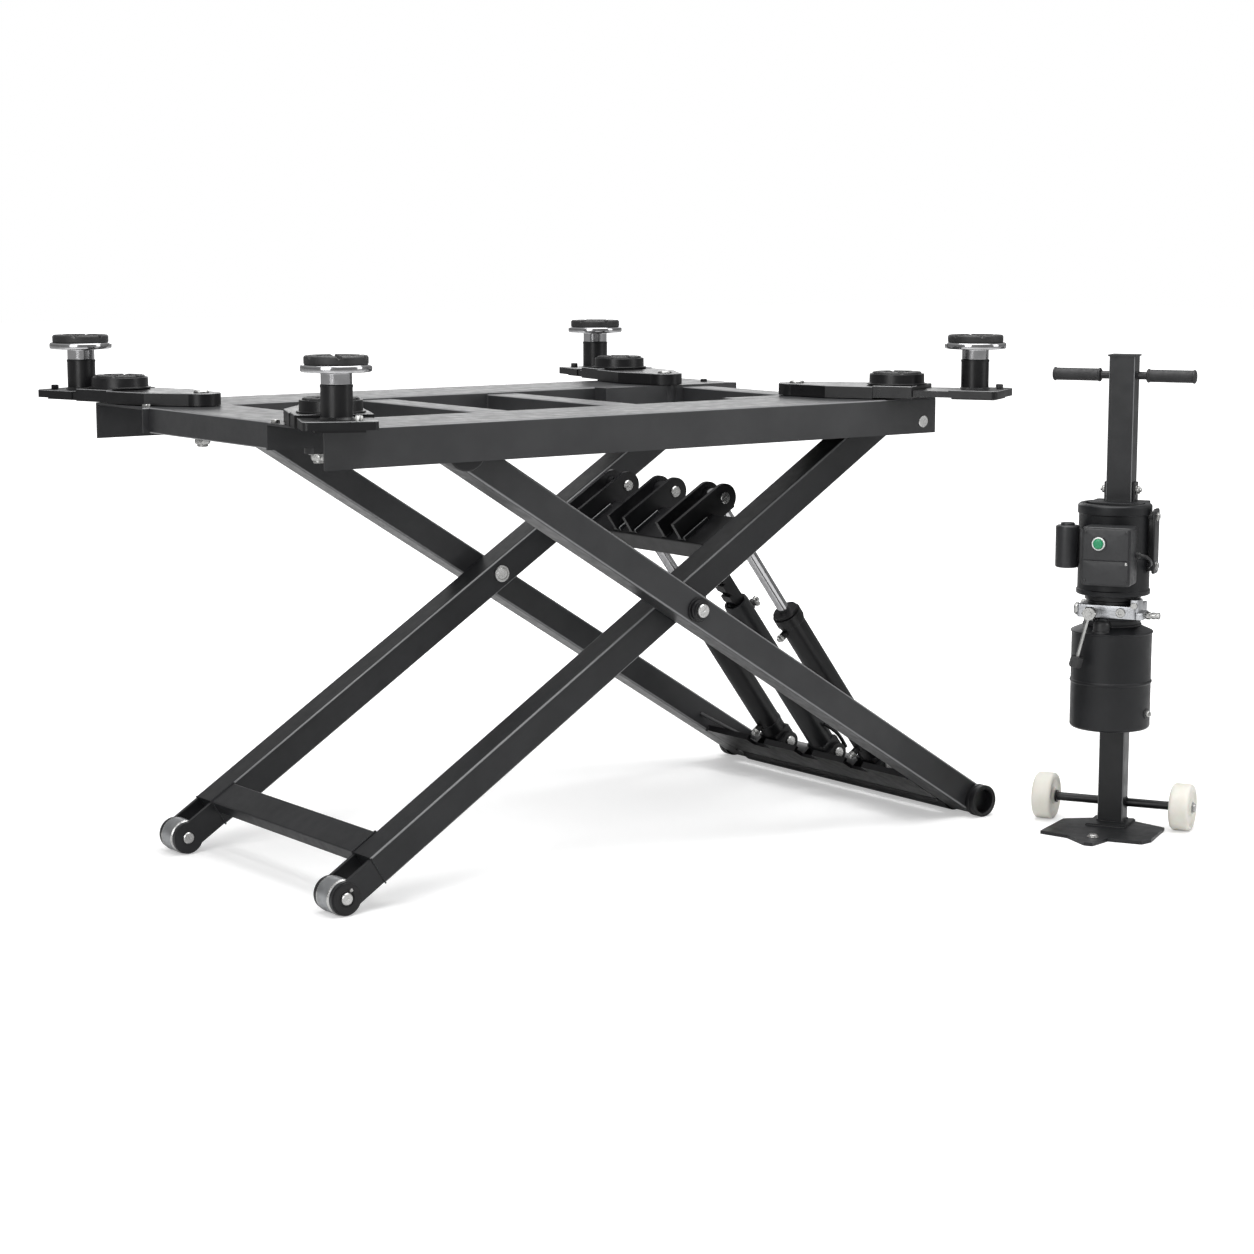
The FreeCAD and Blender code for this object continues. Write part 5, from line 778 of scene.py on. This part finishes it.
PLATE_X, PLATE_Y, PLATE_LOW, PLATE_HIGH = 92.0, -50.0, 608.0, 757.0
ASIDE = Matrix.Rotation(QUARTER, 4, "Y")  # a piece made along +Z then faces the right side
plate_middle = moved(TRUCK, PLATE_X, PLATE_Y, (PLATE_LOW + PLATE_HIGH) / 2) @ ASIDE
bracket = [solid(slab((PLATE_HIGH - PLATE_LOW, 46, 6), 9, 1.2), matrix=plate_middle)]
bracket.append(solid(slab((14, 8, PLATE_HIGH - PLATE_LOW - 12), 1, 0.6),
                     matrix=moved(TRUCK, 86, PLATE_Y - 8, PLATE_LOW + 6)))
plate_bolts = []
for z in (PLATE_LOW + 18, PLATE_HIGH - 18):
    foot = moved(TRUCK, 73, PLATE_Y, z) @ ASIDE
    bracket.append(solid(slab((12, 32, 19.5), 2, 0.8), matrix=foot))
    face = moved(TRUCK, PLATE_X + 6, PLATE_Y, z) @ ASIDE
    plate_bolts += bolted(face, 8, 4.6, 10.5, 1.4)
piece_of("bracket_plate", bracket, BLACK_COAT, "floor", "side_bracket")

gland = [(CORE, 0), (8, 0), (8, 5), (6.8, 6), (7.2, 7), (6.6, 9.4), (5, 10), (CORE, 10)]
at_gland = moved(TRUCK, 72, -135, 658) @ ASIDE
lead_points = [(80, -135, 658), (92, -134, 657), (101, -122, 648), (99, -100, 634), (88, -82, 627),
               (86.2, -72, 626), (86, -66, 626)]
lead = solid(swept(smooth_path(lead_points, 60), 3.5, (0.2, 0.1, 1)), matrix=TRUCK)
piece_of("motor_lead", [lathe(gland, around=32, matrix=at_gland), lead], BLACK_PLASTIC, "floor")
print("bracket solids:", len(bracket))

# %% [markdown]
# The valve block is one machined casting. Its sawn and milled faces are silver, it wears hex plugs
# wherever a gallery was drilled, and the neck under it is the painted top of the tank.

# %% Valve block, neck and plugs
block = [solid(slab((136, 118, BLOCK_TOP - BLOCK_LOW), 5, 1.4), matrix=moved(TRUCK, 0, -53, BLOCK_LOW)),
         solid(slab((18, 60, 16), 3, 1), matrix=moved(TRUCK, 76.5, -82, BLOCK_LOW)),
         solid(slab((20, 42, 45), 3, 1.4), matrix=moved(TRUCK, 64, -86, BLOCK_LOW))]
piece_of("machined_block", block, VALVE_METAL, "floor", "valve_block")
neck_profile = [(30, 484), (66, 484), (67.5, 486), (67.5, 489), (65, 490.5), (65, 499), (68, 500.5),
                (68, 504), (66, 506.2), (30, 506.2)]
skin("tank_neck", turned(soften(neck_profile, 1.2), 96), MOTOR_COAT, "floor",
     matrix=unit_place)

PLUG_Z, PLUG_Y = 521.0, (-82.0, -23.0)
fittings = []
for y in PLUG_Y:
    left = TRUCK @ aimed((-68, y, PLUG_Z), (-1, 0, 0))
    fittings += bolted(left, 15, 9.5, 13.6, 3)
    fittings.append(lathe([(CORE, 12), (7, 12), (7, 13), (5.5, 14), (CORE, 14)], around=32, matrix=left))
right = TRUCK @ aimed((86, -82, 514), (1, 0, 0))
coupler = [(CORE, 11), (6.4, 11), (6.4, 13), (8.2, 14), (8.2, 22), (7, 23.2), (7, 26), (7.9, 26.8),
           (7.9, 31), (6.8, 32), (4, 32), (3.6, 29), (CORE, 29)]
fittings += bolted(right, 9.2, 11) + [lathe(coupler, around=48, matrix=right)]
front_plug = [(CORE, 0), (11, 0), (11, 4), (9.8, 5), (5.2, 5), (4.6, 2.6), (CORE, 2.6)]
fittings.append(lathe(front_plug, around=48, matrix=TRUCK @ aimed((34, -112, PLUG_Z), (0, -1, 0))))
fittings += bolted(TRUCK @ aimed((64, -107, 538), (0, -1, 0)), 8.5, 6)
piece_of("block_plugs", fittings, ZINC, "floor", "hydraulic_fittings")
print("block solids:", len(block), "fitting solids:", len(fittings))

# %% [markdown]
# The filler cap is a moulded dome that screws into the tank's shoulder. One turned profile is enough,
# softened most towards the crown, where the real one is gripped.

# %% Filler cap
FILLER_X, FILLER_Y = -6.0, -124.0
cap_profile = [(1, 473), (22, 473), (22, 478), (19.5, 480), (19.5, 492), (18.6, 497), (14, 502.5),
               (7, 505), (1, 505.4)]
skin("filler_dome", turned(soften(cap_profile, [0, 1, 1, 1, 3, 5, 5, 4, 0]), 64), BLACK_PLASTIC, "floor",
     "filler_cap", matrix=moved(TRUCK, FILLER_X, FILLER_Y, 0))

# %% [markdown]
# The lever turns in the front of the block. A hex boss clamps a thin bright rod, and the rod hangs
# down to a black knob, leaning a little to the left.

# %% Release lever
LEAN, SPINDLE_X, SPINDLE_Z = math.radians(14), -26.0, 522.0
spindle_end = Vector((SPINDLE_X, -170, SPINDLE_Z))
down = Vector((-math.sin(LEAN), 0, -math.cos(LEAN)))
rod_start = Vector((SPINDLE_X, -162, SPINDLE_Z))
shaft = [(CORE, -72), (8, -72), (8, -16), (8, -4), (6.5, -2), (6.5, 0.2), (CORE, 0.2)]
boss = [(CORE, -15), (12.5, -15), (14.5, -14), (14.5, -12.4), (CORE, -12.4)]
to_front = TRUCK @ aimed(spindle_end, (0, -1, 0))
lever = [lathe(shaft, around=48, matrix=to_front), lathe(boss, around=48, matrix=to_front)]
lever += bolted(moved(to_front, 0, 0, -13), 17.5, 11)
lever.append(lathe([(CORE, 10), (4.2, 10), (4.2, 106), (CORE, 106)], around=24,
                   matrix=TRUCK @ aimed(rod_start, down)))
piece_of("lever_rod", lever, ZINC, "release_lever", "release_lever")
knob = soften([(CORE, 103), (13, 103), (15, 105), (15, 126), (12.5, 129), (CORE, 129)],
              [0, 0.5, 1, 1.5, 2, 0])
skin("lever_knob", turned(knob, 48, hexed=15), BLACK_PLASTIC, "release_lever",
     matrix=TRUCK @ aimed(rod_start, down))
print("lever solids:", len(lever) + 1)

# %% [markdown]
# The last fasteners hold the bracket, the ears of the post, the drain and the foot plate. They are
# zinc plated, and one hex head serves them all, as it would in a workshop.

# %% Bolts of the power unit
EAR_X, EAR_Z = 36.0, 793.0
PLATE_BOLT_Y, PLATE_TOP = -178.0, 8.0
screws = list(plate_bolts)
for side in (-1, 1):
    ear = TRUCK @ aimed((side * EAR_X, 0, EAR_Z), (side, 0, 0))
    screws += bolted(ear, 9, 6.4, 11.5, 1.8)
    screws.append(lathe([(CORE, 8), (4.4, 8), (4.4, 11.4), (3.6, 12.2), (CORE, 12.2)], around=24,
                        matrix=ear))
DRAIN_TURN, DRAIN_Z = math.radians(12), 284.0
drain = Vector((math.cos(DRAIN_TURN), -math.sin(DRAIN_TURN), 0))
at_drain = TRUCK @ aimed(Vector((0, UNIT_Y, DRAIN_Z)) + drain * (TANK_RADIUS - 0.5), drain)
screws += bolted(moved(at_drain, 0, 0, 2.4), 8.2, 6)
screws.append(lathe([(CORE, 8), (4.6, 8), (4.6, 11), (3.6, 12), (CORE, 12)], around=24, matrix=at_drain))
at_foot = moved(TRUCK, 0, PLATE_BOLT_Y, PLATE_TOP)
screws += bolted(at_foot, 11, 5, 13.5, 1.6)
piece_of("unit_bolts", screws, ZINC, "floor", "truck_bolts")
drain_seal = turned(soften([(CORE, -2), (12, -2), (12, 2), (10.5, 2.6), (CORE, 2.6)], 0.6), 48)
piece_of("drain_seal", [solid(drain_seal, matrix=at_drain)], BLACK_PLASTIC, "floor")
print("bolt solids:", len(screws))

# %% [markdown]
# The wheels are moulded nylon: a thick tread with generous rounding, a dished web and a hub boss.
# They are turned round the axle, and each rides on its own body so that it can spin.

# %% Wheels and axle
AXLE_Z, HALF_TRACK, HALF_WHEEL, HALF_AXLE = 55.0, 163.0, 23.0, 186.0
half_wheel = [(55, 14), (54.4, 18.5), (51, 23), (45, 23), (43.5, 21), (40, 18), (22, 18), (19.5, 19),
              (18, 23), (10.4, 23)]
wheel = [(radius, -x) for radius, x in half_wheel[::-1]] + half_wheel
sizes = [0.5, 1.2, 1.2, 1.2, 2, 1.2, 1.2, 4, 3, 3, 3, 3, 4, 1.2, 1.2, 2, 1.2, 1.2, 1.2, 0.5]
ROUND = np.linspace(0, 6.29, 40)  # a little over one turn, so that the bead closes
axle_parts, nuts = [], []
for side, name in ((-1, "left"), (1, "right")):
    hub = TRUCK @ aimed((side * HALF_TRACK, AXLE_BACK, AXLE_Z), (side, 0, 0))
    skin("nylon_wheel_" + name, turned(soften(wheel, sizes, 4), 96), NYLON, "wheel_" + name,
         "wheel_" + name, loop=True, matrix=hub)
    axle_parts.append(lathe([(9.8, -28.6), (14.5, -28.6), (14.5, -24.4), (12.6, -23.4), (9.8, -23.4)], 0.8,
                            around=48, loop=True, matrix=hub))
    nuts += bolted(moved(hub, 0, 0, HALF_WHEEL + 0.2), 10.8, 5.6, 13.4, 1.6)
    nuts.append(lathe([(CORE, 28), (5.6, 28), (5.6, 30.4), (4.8, 31), (CORE, 31)], around=32, matrix=hub))
    circle = [(29.4 * side, AXLE_BACK + 12 * math.cos(a), AXLE_Z + 12 * math.sin(a)) for a in ROUND]
    axle_parts.append(solid(bead(circle, 2.2, (1, 0, 0)), matrix=TRUCK))
axle_parts.append(lathe([(CORE, -HALF_AXLE), (10, -HALF_AXLE), (10, HALF_AXLE), (CORE, HALF_AXLE)],
                        around=48, matrix=TRUCK @ aimed((0, AXLE_BACK, AXLE_Z), (1, 0, 0))))
piece_of("axle_bar", axle_parts, BLACK_COAT, "floor", "wheel_axle")
piece_of("axle_nuts", nuts, ZINC, "floor")
print("axle solids:", len(axle_parts), "nut solids:", len(nuts))

# %% [markdown]
# The grips are rubber sleeves with a fine knurl. Two waves crossing each other, one along the grip
# and one round it, raise rows of low pips, and both ends carry a plain ring.

# %% Handle grips
HANDLE_Z, GRIP_IN, GRIP_OUT = 1056.0, 53.0, 166.0
PIPS, PIP_STEP, PIP_HEIGHT = 28, 4.2, 0.32
along = np.linspace(0, 1, 120)[:, None] * (GRIP_OUT - GRIP_IN)
round_it = np.linspace(0, 2 * np.pi, PIPS * 6, endpoint=False)[None, :]
end_gap = np.minimum(along, GRIP_OUT - GRIP_IN - along)
ring_rise = 1.7 * np.exp(-((end_gap - 4.0) / 2.6) ** 4)
knurl = PIP_HEIGHT * np.cos(PIPS * round_it) * np.cos(2 * np.pi * along / PIP_STEP) * (end_gap > 8.5)
grip_radius = 14.2 + ring_rise + knurl - 2.2 * np.clip(1 - end_gap / 1.8, 0, 1) ** 2
grip_rings = np.stack([grip_radius * np.cos(round_it), grip_radius * np.sin(round_it),
                       along + 0 * round_it], -1)
grips = [solid(grip_rings, matrix=TRUCK @ aimed((side * GRIP_IN, 0, HANDLE_Z), (side, 0, 0)))
         for side in (-1, 1)]
piece_of("knurled_grips", grips, GRIP_RUBBER, "floor", "handle_grips")
print("grip rings:", len(grip_rings))

# %% [markdown]
# Three struts stand side by side between the base plate and the lugs of the upper beam. They get
# a frame of their own, with x along the strut, so the barrel rings and hose fittings lie on it.

# %% Struts, hose fittings and lock release
STRUT_FOOT = LIFT.inverted() @ OUTER @ Vector((BASE_PIN_X, 0, BASE_PIN_Z))
STRUT_HEAD = LIFT.inverted() @ INNER @ Vector((CLEVIS_X, 0, CLEVIS_Z))
rise = STRUT_HEAD - STRUT_FOOT
STRUT = LIFT @ Matrix.Translation(STRUT_FOOT) @ Matrix.Rotation(-math.atan2(rise.z, rise.x), 4, "Y")
EYE_RADIUS, EYE_HALF, EYE_BORE = 26.0, 32.0, 13.6


def strut_eye(neck=36.0):
    """Rings of a strut's lower eye: round behind its pin, and square where it meets the barrel."""
    angle = np.linspace(0, 2 * np.pi, 64, endpoint=False)
    sine, cosine = np.abs(np.sin(angle)) + 1e-6, np.maximum(np.cos(angle), 1e-6)
    reach = np.where(np.cos(angle) < 1e-6, EYE_RADIUS, np.minimum(EYE_RADIUS / sine, neck / cosine))
    rows = [(0 * reach + EYE_BORE, EYE_HALF), (reach - 1, EYE_HALF), (reach, EYE_HALF - 1),
            (reach, 1 - EYE_HALF), (reach - 1, -EYE_HALF), (0 * reach + EYE_BORE, -EYE_HALF)]
    return np.array([np.column_stack([radius * np.cos(angle), np.full(64, y), radius * np.sin(angle)])
                     for radius, y in rows])


along_strut = STRUT @ Matrix.Rotation(QUARTER, 4, "Y")
tube_profile = [(1, 34), (29.5, 34), (31, 36), (31, 492), (30, 500), (24.6, 500), (24.6, 350), (1, 350)]
piece_of("lock_tube", [lathe(tube_profile, around=96, matrix=along_strut),
                       solid(strut_eye(), True, STRUT)], LEG_COAT, "lock_sleeve", "lock_sleeve")
BAND_LOW, BAND_HIGH, PORTS = 58.0, 462.0, (70.0, 454.0)
release = STRUT @ aimed((BAND_HIGH, 0, -30), (0, 0, -1))
valve_black = [solid(turned([(CORE, -4), (13, -4), (13, 5), (10, 6), (10, 13), (CORE, 13)], 48, hexed=13),
                     matrix=release)]
valve_bright = [lathe([(CORE, 13), (6.4, 13), (6.4, 18), (8.6, 19), (8.6, 25), (7, 26.4), (CORE, 26.4)],
                      around=32, matrix=release)]
side_boss = STRUT @ aimed((BAND_HIGH, -4, -39), (0, -1, 0))
valve_bright += bolted(moved(side_boss, 0, 0, 7), 6.5, 12)
piece_of("release_body", valve_black, BLACK_PLASTIC, "lock_sleeve")
piece_of("release_screws", valve_bright, ZINC, "lock_sleeve")
hoses, bands = [], []
for middle in (-STRUT_GAP, STRUT_GAP):
    turn = moved(STRUT, 0, middle, 0) @ Matrix.Rotation(QUARTER, 4, "Y")
    for x in (BAND_LOW, BAND_HIGH):
        bands.append(lathe([(30.5, x), (32.4, x), (32.4, x + 7), (30.5, x + 7)], 0.8, loop=True,
                           matrix=turn))
    for x in PORTS:
        port = STRUT @ aimed((x, middle, 45), (0, 0, 1))
        hoses += bolted(port, 10.5, 7)
        hoses.append(lathe([(CORE, 6), (6, 6), (6, 12), (4.6, 13.5), (CORE, 13.5)], around=32, matrix=port))
piece_of("barrel_bands", bands, LEG_COAT, "cylinder_barrels")
piece_of("hose_plugs", hoses, ZINC, "cylinder_barrels")
link = [(832, -35, 50), (850, -35, 52), (885, -35, 50), (905, -35, 44), (929, -35, 33)]
piece_of("release_link", [solid(swept(smooth_path(link, 50), 4.6, (0, 1, 0)), matrix=OUTER)], BLACK_COAT,
         "lock_sleeve")
braces = [solid(swept([(799, side * 384, -5), (896, side * 250, -21)], 5), matrix=OUTER)
          for side in SIDES.values()]
piece_of("corner_braces", braces, LEG_COAT, "outer_legs")
print("strut length in mm:", round(rise.length))

# %% [markdown]
# Every beam is welded where it meets a leg or rail. The seams are drawn as beads whose radius
# swells in regular scales, and they run along the real joint lines of the frame, coated like it.

# %% Weld seams


def around_end(x, y, z):
    """Corners of the seam round a box tube's end that butts on a wall at y."""
    return [(x[0], y, z[0]), (x[1], y, z[0]), (x[1], y, z[1]), (x[0], y, z[1]), (x[0], y, z[0] + 1)]


def seam(base, corners, radius, up):
    """Solid of a weld bead through corner points of a frame."""
    return solid(bead(corners, radius, up), matrix=base)


ACROSS_X, ACROSS_Y, ACROSS_Z = (1, 0, 0), (0, 1, 0), (0, 0, 1)
TIE_X, LOCK_BEAM_X, PLATE_SPAN, LUG_SPAN = (-913, -846), (178, 286), (838, 956), (869, 947)
RAIL_UNDER = RAIL_TOP - 5
BAR_HALF, BAR_TALL, END_TIE = 40.0, 48.0, 204.0
CROSS_BARS = [RAIL_LEFT + RAIL_LENGTH * share for share in (0.363975, 0.579503)]
inner_seams, outer_seams, frame_seams = [], [], []
for side in SIDES.values():
    seam_y, leg_y, rail_y = side * (INNER_BACK - 0.5), side * (OUTER_BACK - 1), side * (RAIL_EDGE - 1)
    for x, z in ((TIE_X, (0, 34)), (LOCK_BEAM_X, (-18, 28))):
        inner_seams.append(seam(INNER, around_end(x, seam_y, z), 2.6, ACROSS_Y))
    for face in (INNER_BACK, INNER_FACE):
        inner_seams.append(seam(INNER, [(TIE_X[0], side * face, z) for z in (-34, 34)], 1.6, ACROSS_X))
    for x in PLATE_SPAN:
        outer_seams.append(seam(OUTER, [(x, leg_y, -37), (x, leg_y, -22)], 3, ACROSS_X))
    outer_seams.append(seam(OUTER, [(x, leg_y, -29.5) for x in PLATE_SPAN], 3, ACROSS_Y))
    for middle in CROSS_BARS:
        for x in (middle - BAR_HALF, middle + BAR_HALF):
            upright = [(x, rail_y, RAIL_UNDER - BAR_TALL), (x, rail_y, RAIL_UNDER - 1)]
            frame_seams.append(seam(LIFT, upright, 2.6, ACROSS_X))
        level = [(x, rail_y, RAIL_UNDER) for x in (middle - BAR_HALF + 2, middle + BAR_HALF - 2)]
        frame_seams.append(seam(LIFT, level, 2.6, ACROSS_Y))
    upright = [(RAIL_LEFT + END_TIE, rail_y, z) for z in (RAIL_UNDER - BAR_TALL, RAIL_TOP - 2)]
    frame_seams.append(seam(LIFT, upright, 2.6, ACROSS_X))
for middle in STRUTS_Y:
    for y in (middle - 35, middle - 25, middle + 25, middle + 35):
        outer_seams.append(seam(OUTER, [(x, y, -29) for x in LUG_SPAN], 2.2, ACROSS_Y))
    for y in (middle - 39, middle + 39):
        inner_seams.append(seam(INNER, [(182, y, 29), (200, y, 29)], 2.2, ACROSS_Y))
post_foot = [(-30, -25, 13), (30, -25, 13), (30, 25, 13), (-30, 25, 13), (-30, -24, 13)]
pad_edge = [(-46, -64, 8.5), (46, -64, 8.5), (46, 30, 8.5), (-46, 30, 8.5), (-46, -63, 8.5)]
unit_seams = [seam(TRUCK, post_foot, 3, ACROSS_Z), seam(TRUCK, pad_edge, 2.6, ACROSS_Z)]
for side in (-1, 1):
    circle = [(30.4 * side, 9.6 * math.cos(a), HANDLE_Z + 9.6 * math.sin(a)) for a in ROUND]
    unit_seams.append(seam(TRUCK, circle, 1.8, ACROSS_X))
STRIP_START, STRIP_WIDE, STRIP_TALL = 182.0, 5.0, 10.5
strips = []
for y, stop in ((STRUT_GAP + 15, 244), (STRUT_GAP - 45, 262), (15, 244), (-45, 262),
                (-STRUT_GAP - 45, 262)):
    place = moved(INNER, (STRIP_START + stop) / 2, y, 27.5)
    strips.append(solid(slab((stop - STRIP_START, STRIP_WIDE, STRIP_TALL), 1.6, 1.6), matrix=place))
piece_of("lug_edge_strips", strips, STRIP_COAT, "inner_legs")
piece_of("inner_leg_welds", inner_seams, LEG_COAT, "inner_legs")
piece_of("outer_leg_welds", outer_seams, LEG_COAT, "outer_legs")
piece_of("top_frame_welds", frame_seams, FRAME_COAT, "top_frame")
piece_of("power_unit_welds", unit_seams, LEG_COAT, "floor")
print("weld seams:", len(inner_seams) + len(outer_seams) + len(frame_seams) + len(unit_seams))

# %% [markdown]
# The picture is a plain studio shot: white floor running into a white background, broad soft light
# from above and from both sides. Black gloss shows little of its own colour, so the large lamps are
# what draws its shape: each one leaves a long pale reflection along the tops of the rails and legs.

# %% Floor
FLOOR_HALF = 30.0
SHADOW_REACH, WHITE_REACH = 1.7, 3.4


def studio_white(name, near, far):
    """Diffuse floor that keeps the object's shadow. For the camera it also glows, weakly
    under the object and fully beyond it, so that it runs into the white background."""
    material, shader = new_material(name, (0.80, 0.80, 0.80), 0.9)
    shader.inputs["Specular IOR Level"].default_value = 0.2
    tree = material.node_tree
    where, path, glow, both = (add(tree, kind)
                               for kind in ("TexCoord", "LightPath", "Emission", "AddShader"))
    reach, scale = add(tree, "VectorMath"), add(tree, "Math")
    reach.operation, scale.operation = "LENGTH", "MULTIPLY"
    rise = add(tree, "MapRange", From_Min=SHADOW_REACH, From_Max=WHITE_REACH, To_Min=near, To_Max=far)
    rise.interpolation_type = "SMOOTHSTEP"
    tree.links.new(where.outputs["Object"], reach.inputs[0])
    tree.links.new(reach.outputs["Value"], rise.inputs["Value"])
    tree.links.new(path.outputs["Is Camera Ray"], scale.inputs[0])
    tree.links.new(rise.outputs["Result"], scale.inputs[1])
    tree.links.new(scale.outputs[0], glow.inputs["Strength"])
    tree.links.new(shader.outputs["BSDF"], both.inputs[0])
    tree.links.new(glow.outputs["Emission"], both.inputs[1])
    tree.links.new(both.outputs[0], tree.nodes["Material Output"].inputs["Surface"])
    return material


corners = [(x * FLOOR_HALF, y * FLOOR_HALF, 0) for x, y in ((-1, -1), (1, -1), (1, 1), (-1, 1))]
floor_mesh = bpy.data.meshes.new("studio_floor")
floor_mesh.from_pydata(corners, [], [(0, 1, 2, 3)])
floor_mesh.materials.append(studio_white("studio floor", 0.36, 1.1))
studio_floor = bpy.data.objects.new("studio_floor", floor_mesh)
bpy.context.scene.collection.objects.link(studio_floor)
print("floor side in m:", 2 * FLOOR_HALF)

# %% [markdown]
# The world is grey for the object's reflections, paler overhead than at the horizon, and plain white
# for the camera. The lamps are large and few, so the shadows stay soft.

# %% World and lamps
HORIZON_GREY, ZENITH_GREY = 0.22, 0.55
scene = bpy.context.scene
world = bpy.data.worlds.new("studio")
scene.world = world
world.use_nodes = True
tree = world.node_tree
background = tree.nodes["Background"]
path, seen, where, split = (add(tree, kind) for kind in ("LightPath", "Math", "TexCoord", "SeparateXYZ"))
seen.operation = "MAXIMUM"
sky = add(tree, "MapRange", From_Min=0.0, From_Max=0.8, To_Min=HORIZON_GREY, To_Max=ZENITH_GREY)
level = add(tree, "MapRange", To_Max=1.0)
tree.links.new(where.outputs["Generated"], split.inputs[0])
tree.links.new(split.outputs["Z"], sky.inputs["Value"])
tree.links.new(sky.outputs["Result"], level.inputs["To Min"])
tree.links.new(path.outputs["Is Camera Ray"], seen.inputs[0])
tree.links.new(path.outputs["Is Transmission Ray"], seen.inputs[1])
tree.links.new(seen.outputs[0], level.inputs["Value"])
tree.links.new(level.outputs["Result"], background.inputs["Strength"])
background.inputs["Color"].default_value = (1, 1, 1, 1)


def soft_lamp(name, place, target, size, power):
    """Rectangular area lamp, aimed at a point."""
    lamp = bpy.data.lights.new(name, "AREA")
    lamp.shape = "RECTANGLE"
    lamp.size, lamp.size_y = size
    lamp.energy = power
    piece = bpy.data.objects.new(name, lamp)
    piece.location = place
    piece.rotation_euler = (Vector(target) - Vector(place)).to_track_quat("-Z", "Y").to_euler()
    scene.collection.objects.link(piece)


soft_lamp("top_softbox", (0.0, -0.5, 4.2), (0, 0, 0.4), (4.0, 4.0), 210)
soft_lamp("left_softbox", (-4.6, -2.2, 2.2), (0, 0, 0.5), (2.2, 3.0), 85)
soft_lamp("right_softbox", (3.6, -4.2, 2.4), (0.2, 0, 0.6), (2.0, 3.0), 48)
soft_lamp("rear_softbox", (2.8, 4.4, 2.2), (0, 0, 0.9), (3.6, 1.8), 36)
print("lamps:", len(bpy.data.lights))

# %% [markdown]
# The camera stands where the photographer stood: about six metres off, a little above the rails and
# 37 degrees round from the lift's side, with a longer lens that keeps the far rail nearly as large.

# %% Camera
EYE = Vector((-3450.9, -5010.2, 1407.8))
HEADING, DIP = math.radians(36.798), math.radians(8.583)
LENS = 77.34
camera_data = bpy.data.cameras.new("camera")
camera_data.lens = LENS
camera_data.clip_end = 100
camera = bpy.data.objects.new("camera", camera_data)
look = Vector((math.sin(HEADING) * math.cos(DIP), math.cos(HEADING) * math.cos(DIP), -math.sin(DIP)))
camera.location = LIFT @ EYE
camera.rotation_euler = look.to_track_quat("-Z", "Y").to_euler()
scene.collection.objects.link(camera)
scene.camera = camera
print("camera at", [round(v, 2) for v in camera.location])
scene.view_settings.view_transform = "Standard"
